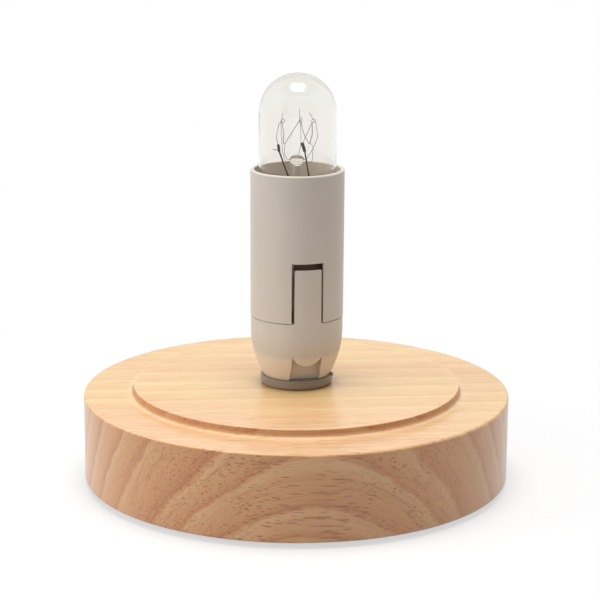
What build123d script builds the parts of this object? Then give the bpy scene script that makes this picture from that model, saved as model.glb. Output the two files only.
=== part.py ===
from build123d import *

import math
import os

# Table lamp: a turned wooden base, a plastic E14 lampholder and a clear tubular bulb. All lengths
# are in millimetres. The origin is under the middle of the lamp, on the surface that it stands on.
# +Z is up, the front faces -Y, and the cord inlet is at the back, at +Y.

# Wooden base
base_diameter = 124.0
rim_height = 25.0
disc_rise = 2.5
disc_diameter = 95.0
cove_radius = 1.8
disc_rounding = 0.3
rim_rounding = 0.6
underside_rounding = 0.8
cavity_diameter = 54.0
cavity_depth = 14.0
nipple_hole_clearance = 0.25

# Feet, set a little way into the underside
foot_count = 4
feet_circle = 96.0
foot_diameter = 12.0
foot_height = 1.5
foot_set_in = 1.0
foot_rounding = 0.6
foot_clearance = 0.1

# Cover plate and its countersunk wood screws
cover_diameter = 72.0
cover_thickness = 2.0
cover_set_in = 0.3
cover_clearance = 0.2
cover_chamfer = 0.3
cover_screw_count = 3
cover_screw_circle = 63.0
cover_screw_length = 10.0
cover_screw_diameter = 3.0
cover_screw_head = 5.6
cover_screw_head_height = 1.6
cover_screw_point = 2.5
cross_width = 0.8
cross_span = 3.4
cross_depth = 0.9
screw_clearance = 0.05

# Bush of the cord inlet, at the back
inlet_level = 8.3
inlet_bore = 6.0
bush_diameter = 8.4
bush_length = 17.5
bush_flange_diameter = 12.0
bush_flange_thickness = 1.5
bush_set_back = 0.5
bush_mouth_rounding = 0.6
bush_clearance = 0.1

# Threaded tube that clamps the holder on the base, with its nut and washers
nipple_diameter = 10.0
nipple_bore = 8.0
nipple_engagement = 8.0
nipple_tail = 2.0
nipple_chamfer = 0.5
nipple_fit = 0.03
nut_width = 14.0
nut_thickness = 3.0
nut_chamfer_angle = 30.0
nut_chamfer_share = 0.5
washer_diameter = 22.0
washer_thickness = 1.0
lock_washer_diameter = 17.0
lock_washer_thickness = 0.8
lock_washer_teeth = 12
lock_washer_notch = 1.6
washer_clearance = 0.2

# Spacer ring between base and holder, with its moulding gate
ring_diameter = 20.9
ring_thickness = 3.15
ring_rounding = 0.25
gate_angle = 80.0
gate_width = 0.8
gate_reach = 0.35
gate_rise = 0.3

# Lower part of the holder. Its latches face latch_angle degrees to the right of the front.
latch_angle = 14.7
dome_diameter = 26.7
dome_foot_diameter = 19.6
dome_height = 17.35
dome_straight = 4.0
dome_wall = 1.7
dome_floor = 2.4
boss_wall = 1.5
boss_height = 9.0
pocket_width = 8.7
pocket_reach = 11.86
pocket_height = 8.85
pocket_wall = 1.0
lip_height = 3.0
lip_root = 1.5
lip_wall = 1.1
lip_clearance = 0.12
bead_radius = 0.35
bead_level = 1.6
bead_clearance = 0.05

# Latch arms, in one piece with the lower part
arm_width = 7.9
arm_height = 16.35
arm_thickness = 1.2
arm_corner = 0.6
hook_height = 1.8
hook_reach = 1.1
hook_clearance = 0.05

# Upper part of the holder
shell_height = 42.8
shell_foot_diameter = 26.9
shell_rim_diameter = 27.08
shell_bore = 24.74
shell_rim_rounding = 0.5
seam_rounding = 0.16
window_side_gap = 0.5
window_top_gap = 1.25

# Insulating insert
insert_clearance = 0.2
insert_drop = 3.5
collar_diameter = 18.8
socket_rise = 2.3
socket_clearance = 0.14
well_diameter = 9.8
well_depth = 6.5

# Terminals
terminal_inner_face = 4.4
terminal_length = 5.0
terminal_width = 6.0
terminal_height = 7.0
terminal_set_up = 1.0
terminal_clearance = 0.1
wire_hole = 2.4
wire_hole_offset = 2.8
wire_hole_depth = 5.5
clamp_screw_diameter = 2.5
clamp_screw_length = 1.6
clamp_head_diameter = 3.8
clamp_head_height = 1.1
clamp_slot = 0.5
strip_thickness = 0.4
strip_width = 3.2
strip_bend = 0.3
slot_clearance = 0.05
slot_overrun = 1.0
strip_end_gap = 0.1
shell_strip_reach = 8.2
rivet_diameter = 1.2
rivet_head_diameter = 1.5
rivet_head_height = 0.4
rivet_length = 2.2
rivet_clearance = 0.02

# Sprung leaf under the bulb's tip
leaf_thickness = 0.35
leaf_reach = 4.0
leaf_drop = 1.27
leaf_overrun = 1.1
leaf_crest_start = -1.2
leaf_crest_end = 0.4
leaf_tail_drop = 0.5
leaf_running_gap = 0.06
leaf_contact_gap = 0.05

# E14 thread: a round thread, with the same gap all round between bulb and holder
thread_pitch = 2.822
thread_major = 13.7
thread_minor = 12.1
thread_turns = 3.5
thread_gap = 0.18
cap_sheet = 0.3
shell_sheet = 0.28
socket_flange_sheet = 0.3
socket_flange_bore = 10.5
socket_lip_reach = 1.1
socket_lead_in = 0.5

# Bulb. Heights are above its tip, which lies tip_drop below the floor of the socket.
tip_drop = 3.55
bulb_length = 57.0
bulb_diameter = 22.2
glass_wall = 0.6
glass_turn_share = 0.995
crown_share = 0.999
neck_diameter = 11.0
neck_bottom = 11.75
shoulder_rise = 0.6
shoulder_height = 7.2
tip_diameter = 6.2
tip_height = 1.35
tip_crown = 0.45
insulator_small_diameter = 7.2
insulator_large_diameter = 10.8
insulator_height = 4.2
insulator_plug = 1.4
insulator_rounding = 0.3
thread_start = 1.2
thread_runout = 1.67
skirt_height = 2.2
skirt_diameter = 13.9
rim_flare = 0.35
cement_clearance = 0.05
cement_inset = 0.2

# Glass mount inside the bulb
flare_diameter = 9.7
flare_height = 3.2
stem_tube_diameter = 6.0
stem_tube_wall = 0.6
press_width = 6.6
press_depth = 2.6
press_bottom = 20.0
press_top = 24.6
press_rounding = 0.8
exhaust_diameter = 2.0
exhaust_wall = 0.4
exhaust_bottom = 8.6
rod_diameter = 2.9
button_diameter = 4.1
button_height = 2.9
button_level = 32.05
button_rounding = 1.42
glass_overlap = 1.0
mount_offset = -0.2

# Wires inside the bulb
lead_diameter = 0.38
lead_spacing = 3.4
crimp_diameter = 0.6
support_diameter = 0.14
filament_diameter = 0.24
pin_diameter = 0.21
wire_bend = 0.6
bend_share = 0.45
lead_split_drop = 1.8
lead_split_height = 1.8
lead_press_overrun = 0.2
side_weld_level = 9.6

# Points of the wires: across, back and above the bulb's tip
left_lead_points = [(-2.72, -0.6, 27.74), (-5.32, -0.8, 34.85)]
left_crimp_top = (-5.55, -0.8, 36.66)
left_pin_end = (-7.09, -0.8, 35.15)
right_lead_points = [(3.45, -0.3, 26.6), (2.01, 1.0, 34.58)]
right_crimp_top = (1.25, 1.2, 36.85)
filament_points = [
    (-6.13, -0.5, 38.59),
    (-5.34, 1.0, 42.3),
    (-4.6, 1.25, 42.8),
    (-3.93, 2.0, 39.03),
    (-4.19, 3.0, 36.86),
    (-3.84, 3.5, 35.85),
    (0.7, 5.0, 43.05),
    (1.2, 4.8, 40.59),
    (2.08, 4.2, 38.03),
    (3.41, 3.5, 35.98),
    (4.18, 2.0, 39.07),
    (4.03, 0.65, 42.8),
    (2.07, 1.2, 38.18),
]
support_points = [
    [(-3.4, 0.6, 31.2), (-4.31, 0.9, 34.1), (-4.67, 0.95, 39.1), (-4.85, 0.95, 43.0), (-4.3, 1.1, 45.51)],
    [(-2.9, 0.4, 32.0), (-3.68, 2.0, 33.06), (-3.83, 3.1, 34.3), (-3.6, 3.75, 36.2)],
    [(0.3, 0.9, 33.4), (0.95, 3.2, 36.4), (0.95, 4.55, 40.0), (0.62, 4.7, 43.3), (0.45, 4.9, 46.02)],
    [(2.5, 0.5, 32.05), (4.51, 0.6, 35.5), (5.75, 0.65, 38.64), (4.8, 0.45, 43.4), (3.24, 0.45, 45.64)],
    [(2.6, 0.8, 31.2), (4.24, 2.0, 31.2), (4.53, 3.4, 35.48), (3.5, 3.8, 36.25)],
]

# Levels, from the bottom up
wood_bottom = foot_height
rim_level = wood_bottom + rim_height
seat_level = rim_level + disc_rise
cavity_top = wood_bottom + cavity_depth
inlet_height = wood_bottom + inlet_level
dome_bottom = seat_level + ring_thickness
belly_top = dome_bottom + dome_height - dome_straight
seam_level = dome_bottom + dome_height
shell_top = seam_level + shell_height
lip_top = seam_level + lip_height
arm_top = seam_level + arm_height
window_top = arm_top + window_top_gap
shoulder_level = arm_top - hook_height - hook_clearance
socket_floor = shoulder_level + socket_rise
well_floor = socket_floor - well_depth
insert_bottom = seam_level - insert_drop
terminal_bottom = insert_bottom + terminal_set_up
terminal_top = terminal_bottom + terminal_height
tip_level = socket_floor - tip_drop
cap_bottom = tip_level + tip_height + insulator_height
cap_thread_start = cap_bottom + thread_start
cap_thread_end = cap_thread_start + thread_turns * thread_pitch
skirt_bottom = cap_thread_end + thread_runout
cap_top = skirt_bottom + skirt_height
socket_top = skirt_bottom - thread_gap
collar_top = socket_top - shell_sheet

# Radii that neighbouring pieces share
dome_radius = dome_diameter / 2
belly_drop = (dome_diameter - dome_foot_diameter) / 2
belly_height = belly_top - dome_bottom
belly_radius = (belly_drop**2 + belly_height**2) / (2 * belly_drop)
boss_radius = nipple_diameter / 2 + boss_wall
lip_radius = shell_bore / 2 - lip_clearance
lip_bore_radius = lip_radius - lip_wall
arm_inner_radius = dome_radius - arm_thickness
insert_radius = min(arm_inner_radius, shell_bore / 2) - insert_clearance
insert_foot_radius = lip_bore_radius - insert_clearance
crest_height = (thread_major - thread_minor) / 2
core_radius = thread_minor / 2
socket_core_radius = core_radius + thread_gap
socket_wire_radius = crest_height + thread_gap
socket_outer_radius = core_radius + socket_wire_radius + shell_sheet
collar_bore_radius = socket_outer_radius + socket_clearance
terminal_outer_face = terminal_inner_face + terminal_length
rivet_reach = (socket_flange_bore / 2 + socket_outer_radius) / 2
leaf_pivot_level = tip_level - leaf_contact_gap - leaf_thickness / 2 - leaf_drop

STAND = (Align.CENTER, Align.CENTER, Align.MIN)
FRONT = Rot(0, 0, latch_angle)
BACK = Rot(0, 0, latch_angle + 180)


def rounded_face(corners):
    """Face with the given (across, up, rounding) corners."""
    spots = [Vector(x, y) for x, y, rounding in corners]
    edges = []
    ends = []
    for number, (x, y, rounding) in enumerate(corners):
        here = spots[number]
        if rounding <= 0:
            ends.append((here, here))
            continue
        back = (spots[number - 1] - here).normalized()
        ahead = (spots[(number + 1) % len(spots)] - here).normalized()
        half_angle = math.radians(back.get_angle(ahead)) / 2
        reach = rounding / math.tan(half_angle)
        depth = rounding / math.sin(half_angle) - rounding
        start = here + back * reach
        finish = here + ahead * reach
        middle = here + (back + ahead).normalized() * depth
        edges.append(ThreePointArc(start, middle, finish))
        ends.append((start, finish))
    for number, (start, _) in enumerate(ends):
        before = ends[number - 1][1]
        if (start - before).length > 1e-6:
            edges.append(Line(before, start))
    return make_face(edges)


def turned(face):
    """Solid of revolution about Z from a face drawn as radius across and height up."""
    return revolve(Plane.XZ * face, Axis.Z)


def turned_corners(corners):
    """Solid of revolution from (radius, height, rounding) corners."""
    return turned(rounded_face(corners))


def disc(radius, bottom, top):
    """Upright cylinder on the axis of the lamp."""
    return Pos(0, 0, bottom) * Cylinder(radius, top - bottom, align=STAND)


def ring(outer_radius, inner_radius, bottom, top):
    """Upright tube on the axis of the lamp."""
    overlap = top - bottom
    return disc(outer_radius, bottom, top) - disc(inner_radius, bottom - overlap, top + overlap)


def block(low, high):
    """Box between two opposite corners."""
    size = [b - a for a, b in zip(low, high)]
    return Pos(*low) * Box(*size, align=(Align.MIN, Align.MIN, Align.MIN))


def around(count, radius, start_angle=0.0):
    """Places spread evenly on a circle about Z."""
    return [
        Rot(0, 0, start_angle + number * 360 / count) * Pos(radius, 0, 0)
        for number in range(count)
    ]


def turn_between(before, here, after):
    """Angle in radians by which a route turns at a point."""
    return math.radians((here - before).get_angle(after - here))


def route(points, bend):
    """Straight runs through the points, joined by arcs as large as the runs allow."""
    spots = [Vector(*point) for point in points]
    if len(spots) == 2:
        return Line(*spots)
    bends = []
    for before, here, after in zip(spots, spots[1:], spots[2:]):
        shorter = min((here - before).length, (after - here).length)
        largest = bend_share * shorter / math.tan(turn_between(before, here, after) / 2)
        bends.append(min(bend, largest))
    return FilletPolyline(*spots, radius=bends)


def wire(points, diameter, bend=wire_bend):
    """Round wire along a route."""
    path = route(points, bend)
    section = Plane(origin=path @ 0, z_dir=path % 0) * Circle(diameter / 2)
    return sweep(section, path=path)


def strip(points, thickness, width, bend):
    """Bent sheet strip: (across, up) points of its middle line, with its width along Y."""
    path = route([(x, z, 0) for x, z in points], bend)
    face = Plane.XZ * trace(path, line_width=thickness)
    return extrude(face, amount=width / 2, both=True)


def raised(point):
    """Point of the bulb's inside, moved up to its place in the lamp."""
    across, back, height = point
    return (across, back, tip_level + height)


def threaded_core(inner_radius, wire_radius, start, turns, bottom, top):
    """Cylinder with a round right-hand thread that is centred on the minor diameter."""
    path = Helix(thread_pitch, thread_pitch * turns, core_radius)
    section = Plane(origin=path @ 0, z_dir=path % 0) * Circle(wire_radius)
    turn = 360 * (start - cap_thread_start) / thread_pitch
    ridge = Pos(0, 0, start) * Rot(0, 0, turn) * sweep(section, path=path, is_frenet=True)
    low = min(bottom, start) - 2 * wire_radius
    high = max(top, start + turns * thread_pitch) + 2 * wire_radius
    rod = disc(inner_radius, low, high) + ridge
    return rod & disc(thread_major, bottom, top)


def wood_base():
    """Turned base with a raised disc on top and a cavity for the nut and the wiring below."""
    base_radius = base_diameter / 2
    crest_radius = disc_diameter / 2
    cove = min(cove_radius, disc_rise - disc_rounding)
    body = turned_corners(
        [
            (0, wood_bottom, 0),
            (base_radius, wood_bottom, underside_rounding),
            (base_radius, rim_level, rim_rounding),
            (crest_radius, rim_level, cove),
            (crest_radius, seat_level, disc_rounding),
            (0, seat_level, 0),
        ]
    )
    seat_depth = cover_thickness + cover_set_in
    body -= disc(cover_diameter / 2 + cover_clearance, 0, wood_bottom + seat_depth)
    body -= disc(cavity_diameter / 2, 0, cavity_top)
    body -= disc(nipple_diameter / 2 + nipple_hole_clearance, 0, 2 * seat_level)
    foot_hole = disc(foot_diameter / 2 + foot_clearance, 0, wood_bottom + foot_set_in)
    for place in foot_places():
        body -= place * foot_hole
    screw_hole = cover_screw_shank(screw_clearance)
    for place in cover_screw_places():
        body -= place * screw_hole
    channel = Pos(0, 0, inlet_height) * Rot(-90, 0, 0)
    body -= channel * Cylinder(bush_diameter / 2 + bush_clearance, base_radius, align=STAND)
    flange_seat = bush_face() - bush_flange_thickness
    flange_hole = Cylinder(bush_flange_diameter / 2 + bush_clearance, base_radius, align=STAND)
    return body - channel * Pos(0, 0, flange_seat) * flange_hole


def foot_places():
    return around(foot_count, feet_circle / 2, 45)


def rubber_feet():
    """Feet that carry the lamp."""
    foot = turned_corners(
        [
            (0, 0, 0),
            (foot_diameter / 2, 0, foot_rounding),
            (foot_diameter / 2, wood_bottom + foot_set_in, 0),
            (0, wood_bottom + foot_set_in, 0),
        ]
    )
    return [place * foot for place in foot_places()]


def cover_face():
    """Level of the outer face of the cover plate."""
    return wood_bottom + cover_set_in


def cover_plate():
    """Disc that closes the cavity from below."""
    plate = disc(cover_diameter / 2, cover_face(), cover_face() + cover_thickness)
    plate = chamfer(plate.edges().group_by(Axis.Z)[0], cover_chamfer)
    hole = cover_screw_body(screw_clearance)
    for place in cover_screw_places():
        plate -= place * hole
    return plate


def cover_screw_places():
    return around(cover_screw_count, cover_screw_circle / 2, 30)


def cover_screw_shank(clearance):
    """Shank of a cover screw with its point, or the hole for it."""
    radius = cover_screw_diameter / 2 + clearance
    top = cover_face() + cover_screw_length + clearance
    return turned_corners(
        [
            (0, cover_face(), 0),
            (radius, cover_face(), 0),
            (radius, top - cover_screw_point, 0),
            (0, top, 0),
        ]
    )


def cover_screw_body(clearance):
    """Cover screw without its cross, or the hole for it."""
    shank_radius = cover_screw_diameter / 2
    head = Pos(0, 0, cover_face()) * Cone(
        cover_screw_head / 2 + clearance,
        shank_radius + clearance,
        cover_screw_head_height,
        align=STAND,
    )
    return cover_screw_shank(clearance) + head


def cover_screws():
    """Countersunk screws of the cover plate."""
    screw = cover_screw_body(0)
    for angle in (0, 90):
        bar = Box(cross_span, cross_width, 2 * cross_depth)
        screw -= Pos(0, 0, cover_face()) * Rot(0, 0, angle) * bar
    return [place * screw for place in cover_screw_places()]


def bush_face():
    """Distance of the bush's outer face from the axis of the lamp."""
    return base_diameter / 2 - bush_set_back


def inlet_bush():
    """Bush that the cord passes through at the back of the base."""
    body = turned_corners(
        [
            (inlet_bore / 2, 0, bush_mouth_rounding),
            (bush_flange_diameter / 2, 0, bush_mouth_rounding),
            (bush_flange_diameter / 2, bush_flange_thickness, 0),
            (bush_diameter / 2, bush_flange_thickness, 0),
            (bush_diameter / 2, bush_length, 0),
            (inlet_bore / 2, bush_length, 0),
        ]
    )
    return Pos(0, bush_face(), inlet_height) * Rot(90, 0, 0) * body


def nut_top():
    return cavity_top - washer_thickness - lock_washer_thickness


def threaded_nipple():
    """Hollow threaded tube from the nut up into the holder."""
    bottom = nut_top() - nut_thickness - nipple_tail
    top = dome_bottom + nipple_engagement
    tube = ring(nipple_diameter / 2, nipple_bore / 2, bottom, top)
    rims = tube.edges().filter_by(GeomType.CIRCLE).sort_by(SortBy.RADIUS)[-2:]
    return chamfer(rims, nipple_chamfer)


def flat_washer():
    """Washer against the ceiling of the cavity."""
    bore = nipple_diameter / 2 + washer_clearance
    return ring(washer_diameter / 2, bore, cavity_top - washer_thickness, cavity_top)


def lock_washer():
    """Toothed washer between the nut and the flat washer."""
    top = cavity_top - washer_thickness
    bore = nipple_diameter / 2 + washer_clearance
    washer = ring(lock_washer_diameter / 2, bore, nut_top(), top)
    notch = Box(lock_washer_notch, lock_washer_notch, 4 * lock_washer_thickness)
    for place in around(lock_washer_teeth, lock_washer_diameter / 2):
        washer -= place * Pos(0, 0, nut_top()) * notch
    return washer


def hex_nut():
    """Nut under the washers."""
    bottom = nut_top() - nut_thickness
    corner_radius = nut_width / math.sqrt(3)
    prism = extrude(RegularPolygon(corner_radius, 6), nut_thickness)
    crown = nut_chamfer_share * (corner_radius - nut_width / 2)
    slope = math.tan(math.radians(nut_chamfer_angle))
    dome = turned_corners(
        [
            (0, 0, 0),
            (corner_radius - crown, 0, 0),
            (corner_radius + crown, 2 * crown * slope, 0),
            (corner_radius + crown, nut_thickness, 0),
            (0, nut_thickness, 0),
        ]
    )
    nut = Pos(0, 0, bottom) * (prism & dome)
    return nut - disc(nipple_diameter / 2 + nipple_fit, 0, seat_level)


def seat_ring():
    """Spacer ring that the holder stands on, with the mark of its moulding gate."""
    outer = ring_diameter / 2
    bore = nipple_diameter / 2 + washer_clearance
    body = turned_corners(
        [
            (bore, seat_level, 0),
            (outer, seat_level, 0),
            (outer, dome_bottom, ring_rounding),
            (bore, dome_bottom, 0),
        ]
    )
    inner_end = dome_foot_diameter / 2 + gate_reach
    gate = block(
        (-gate_width / 2, -outer - gate_reach, dome_bottom - gate_width),
        (gate_width / 2, -inner_end, dome_bottom + gate_rise / 2),
    )
    return body + Rot(0, 0, gate_angle) * gate


def belly_point(level, inset):
    """Radius of the dome's curved side at a level, inset by a wall."""
    arc_radius = belly_radius - inset
    centre = dome_radius - belly_radius
    return centre + math.sqrt(arc_radius**2 - (belly_top - level) ** 2)


def dome_solid(inset, bottom, top, edge_rounding=0.0):
    """Solid of revolution inside the dome's outer surface, inset by a wall."""
    side = dome_radius - inset
    low = (belly_point(bottom, inset), bottom)
    middle_level = (bottom + belly_top) / 2
    middle = (belly_point(middle_level, inset), middle_level)
    edges = [
        Line((0, bottom), low),
        ThreePointArc(low, middle, (side, belly_top)),
        Line((side, belly_top), (side, top - edge_rounding)),
        Line((side - edge_rounding, top), (0, top)),
        Line((0, top), (0, bottom)),
    ]
    if edge_rounding > 0:
        slant = edge_rounding * (1 - math.sqrt(0.5))
        edges.append(
            ThreePointArc(
                (side, top - edge_rounding),
                (side - slant, top - slant),
                (side - edge_rounding, top),
            )
        )
    return turned(make_face(edges))


def pocket(grown):
    """Moulding pocket that opens at the foot of the dome, or its walls, facing the front."""
    half_width = pocket_width / 2 + grown
    return block(
        (-half_width, -pocket_reach, dome_bottom - dome_floor),
        (half_width, -boss_radius - pocket_wall + grown, dome_bottom + pocket_height + grown),
    )


def latch_arm():
    """Latch arm with its hook over the insert, facing the front."""
    root = seam_level - seam_rounding
    half_width = arm_width / 2
    plate = Plane.XZ * rounded_face(
        [
            (-half_width, root - lip_root, 0),
            (half_width, root - lip_root, 0),
            (half_width, arm_top, arm_corner),
            (-half_width, arm_top, arm_corner),
        ]
    )
    slab = extrude(plate, amount=dome_diameter)
    arm = slab & ring(dome_radius, arm_inner_radius, root - lip_root, arm_top)
    hook_profile = rounded_face(
        [
            (arm_inner_radius - hook_reach, arm_top - hook_height, 0),
            (arm_inner_radius + arm_thickness / 2, arm_top - hook_height, 0),
            (arm_inner_radius + arm_thickness / 2, arm_top, 0),
            (arm_inner_radius, arm_top, 0),
        ]
    )
    return arm + (slab & turned(hook_profile))


def bead(clearance):
    """Snap bead around the lip, or the groove for it."""
    level = seam_level + bead_level
    return Pos(0, 0, level) * Torus(lip_radius, bead_radius + clearance)


def holder_dome():
    """Lower part of the holder: dome, threaded boss, lip and two latch arms in one piece."""
    outside = dome_solid(0, dome_bottom, seam_level, seam_rounding)
    inside = dome_solid(dome_wall, dome_bottom + dome_floor, seam_level + lip_height)
    boss = disc(boss_radius, dome_bottom, dome_bottom + boss_height)
    inside -= boss
    for side in (FRONT, BACK):
        inside -= side * pocket(pocket_wall)
    body = outside - inside
    body += ring(lip_radius, lip_bore_radius, seam_level - lip_root, lip_top) + bead(0)
    for side in (FRONT, BACK):
        gap = arm_width / 2 + window_side_gap
        slot = block((-gap, -dome_diameter, seam_level), (gap, -lip_bore_radius / 2, window_top))
        body -= side * slot
    for side in (FRONT, BACK):
        body += side * latch_arm()
        body -= side * pocket(0)
    return body - disc(nipple_diameter / 2 + nipple_fit, 0, seam_level)


def holder_shell():
    """Upper sleeve of the holder, with a window around each latch arm."""
    bore = shell_bore / 2
    body = turned_corners(
        [
            (bore, seam_level, 0),
            (shell_foot_diameter / 2, seam_level, seam_rounding),
            (shell_rim_diameter / 2, shell_top, shell_rim_rounding),
            (bore, shell_top, shell_rim_rounding / 2),
        ]
    )
    body -= bead(bead_clearance)
    half_width = arm_width / 2 + window_side_gap
    window = block((-half_width, -dome_diameter, 0), (half_width, 0, window_top))
    return body - FRONT * window - BACK * window


def terminal_places():
    """Places of the contact's terminal, at the right of the latches, and of the shell's."""
    return [FRONT, BACK]


def shell_strip_points():
    """Middle line of the strip from the shell's terminal to the floor of the socket."""
    half = strip_thickness / 2
    foot = terminal_top + half
    head = socket_floor - half
    inner_end = terminal_inner_face + terminal_length / 2
    return [
        (inner_end, foot),
        (shell_strip_reach, foot),
        (shell_strip_reach, head),
        (socket_flange_bore / 2 + strip_end_gap, head),
    ]


def contact_strip_points():
    """Middle line of the strip from the contact's terminal across the well to the leaf."""
    half = strip_thickness / 2
    side = terminal_inner_face - half
    end = leaf_pivot_level - leaf_thickness / 2 - leaf_running_gap
    return [
        (side, terminal_bottom + terminal_set_up),
        (side, well_floor + half),
        (-leaf_reach, well_floor + half),
        (-leaf_reach, end),
    ]


def insert_slots():
    """Room for the strips in the insert."""
    half = strip_thickness / 2 + slot_clearance
    width = strip_width / 2 + slot_clearance
    side = terminal_inner_face - strip_thickness / 2
    contact_slot = block((side - half, -width, 0), (side + half, width, well_floor + half))
    reach = shell_strip_reach
    head = socket_floor - strip_thickness / 2
    shell_slot = block((reach - half, -width, terminal_top), (reach + half, width, head + half))
    inner_end = well_diameter / 2 - slot_overrun
    top_slot = block((inner_end, -width, head - half), (reach + half, width, head + half))
    return FRONT * contact_slot, BACK * (shell_slot + top_slot)


def terminal_insert():
    """Insulating body that carries the terminals, the socket and the contact."""
    body = disc(insert_radius, lip_top, shoulder_level)
    body += disc(insert_foot_radius, insert_bottom, lip_top)
    body += disc(collar_diameter / 2, shoulder_level, collar_top)
    body -= disc(collar_bore_radius, socket_floor, 2 * collar_top)
    body -= disc(well_diameter / 2, well_floor, 2 * collar_top)
    half_width = terminal_width / 2 + terminal_clearance
    chamber_top = terminal_top + strip_thickness + slot_clearance
    chamber = block(
        (terminal_inner_face - strip_thickness - slot_clearance, -half_width, 0),
        (terminal_outer_face + terminal_clearance, half_width, chamber_top),
    )
    driver_hole = Pos(terminal_inner_face, 0, clamp_level()) * Rot(0, 90, 0) * Cylinder(
        clamp_head_diameter / 2 + terminal_clearance, dome_radius, align=STAND
    )
    for place in terminal_places():
        body -= place * (chamber + driver_hole)
    for slot in insert_slots():
        body -= slot
    for place in socket_rivet_places():
        body -= place * rivet(rivet_clearance)
    return body - FRONT * well_rivet_place() * rivet(rivet_clearance)


def clamp_level():
    return terminal_bottom + wire_hole_depth / 2


def terminal_block():
    """Brass clamp block with a hole for the wire from below and a hole for its screw."""
    body = block(
        (terminal_inner_face, -terminal_width / 2, terminal_bottom),
        (terminal_outer_face, terminal_width / 2, terminal_top),
    )
    hole_reach = terminal_inner_face + wire_hole_offset
    hole = Cylinder(wire_hole / 2, wire_hole_depth, align=STAND)
    body -= Pos(hole_reach, 0, terminal_bottom) * hole
    screw_radius = clamp_screw_diameter / 2 + nipple_fit
    screw_hole = Cylinder(screw_radius, 2 * terminal_length, align=STAND)
    return body - Pos(hole_reach, 0, clamp_level()) * Rot(0, 90, 0) * screw_hole


def shell_terminal():
    """Clamp block and strip that feed the screw shell."""
    feed = strip(shell_strip_points(), strip_thickness, strip_width, strip_bend)
    piece = BACK * (terminal_block() + feed)
    for place in socket_rivet_places():
        piece -= place * rivet(rivet_clearance)
    return piece


def contact_terminal():
    """Clamp block and strip that feed the centre contact."""
    feed = strip(contact_strip_points(), strip_thickness, strip_width, strip_bend)
    piece = FRONT * (terminal_block() + feed)
    return piece - FRONT * well_rivet_place() * rivet(rivet_clearance)


def terminal_screws():
    """Clamp screws of the two terminals."""
    shank = Cylinder(clamp_screw_diameter / 2, clamp_screw_length, align=STAND)
    head = Pos(0, 0, clamp_screw_length) * Cylinder(
        clamp_head_diameter / 2, clamp_head_height, align=STAND
    )
    slot = Box(clamp_head_diameter * 2, clamp_slot, clamp_head_height)
    slot = Pos(0, 0, clamp_screw_length + clamp_head_height) * slot
    screw = shank + head - slot
    start = terminal_outer_face - clamp_screw_length
    lie = Pos(start, 0, clamp_level()) * Rot(0, 90, 0)
    return [place * lie * screw for place in terminal_places()]


def rivet(clearance):
    """Rivet with its head up, standing on the level z = 0, or the hole for it."""
    shank_radius = rivet_diameter / 2 + clearance
    head_radius = rivet_head_diameter / 2
    shank = disc(shank_radius, -rivet_length - clearance, rivet_head_height)
    return shank + disc(head_radius, 0, rivet_head_height)


def socket_rivet_places():
    """Rivets through the floor of the screw shell, at the two terminals."""
    level = socket_floor + socket_flange_sheet
    return [side * Pos(rivet_reach, 0, level) for side in (FRONT, BACK)]


def well_rivet_place():
    """Rivet through the contact strip, clear of the leaf."""
    reach = (leaf_overrun + terminal_inner_face - strip_thickness) / 2
    return Pos(reach, 0, well_floor + strip_thickness)


def insert_rivets():
    """Rivets that hold the screw shell and the contact strip on the insert."""
    places = socket_rivet_places() + [FRONT * well_rivet_place()]
    return [place * rivet(0) for place in places]


def contact_tongue():
    """Sprung leaf that presses on the bulb's tip."""
    crest = leaf_pivot_level + leaf_drop
    points = [
        (-leaf_reach, leaf_pivot_level),
        (leaf_crest_start, crest),
        (leaf_crest_end, crest),
        (leaf_overrun, crest - leaf_tail_drop),
    ]
    leaf = strip(points, leaf_thickness, strip_width, leaf_thickness)
    root = Cylinder(leaf_thickness / 2, strip_width, rotation=(90, 0, 0))
    return FRONT * (leaf + Pos(-leaf_reach, 0, leaf_pivot_level) * root)


def screw_shell():
    """Threaded metal sleeve of the socket."""
    start = cap_thread_start - thread_pitch / 2
    turns = math.ceil((socket_top + thread_pitch - start) / thread_pitch)
    bottom = socket_floor
    outer_core = socket_core_radius + shell_sheet
    outer_wire = socket_wire_radius + shell_sheet
    outside = threaded_core(outer_core, outer_wire, start, turns, bottom, socket_top)
    outside += ring(socket_outer_radius, socket_core_radius, bottom, bottom + socket_flange_sheet)
    flange_radius = socket_outer_radius + socket_lip_reach
    outside += disc(flange_radius, collar_top, socket_top)
    inside = threaded_core(
        socket_core_radius,
        socket_wire_radius,
        start,
        turns,
        bottom + socket_flange_sheet,
        2 * socket_top,
    )
    lead_in = Pos(0, 0, socket_top - socket_lead_in) * Cone(
        socket_core_radius,
        socket_outer_radius,
        2 * socket_lead_in,
        align=STAND,
    )
    body = outside - inside - lead_in
    body -= disc(socket_flange_bore / 2, 0, socket_top)
    for place in socket_rivet_places():
        body -= place * rivet(rivet_clearance)
    return body


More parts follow.
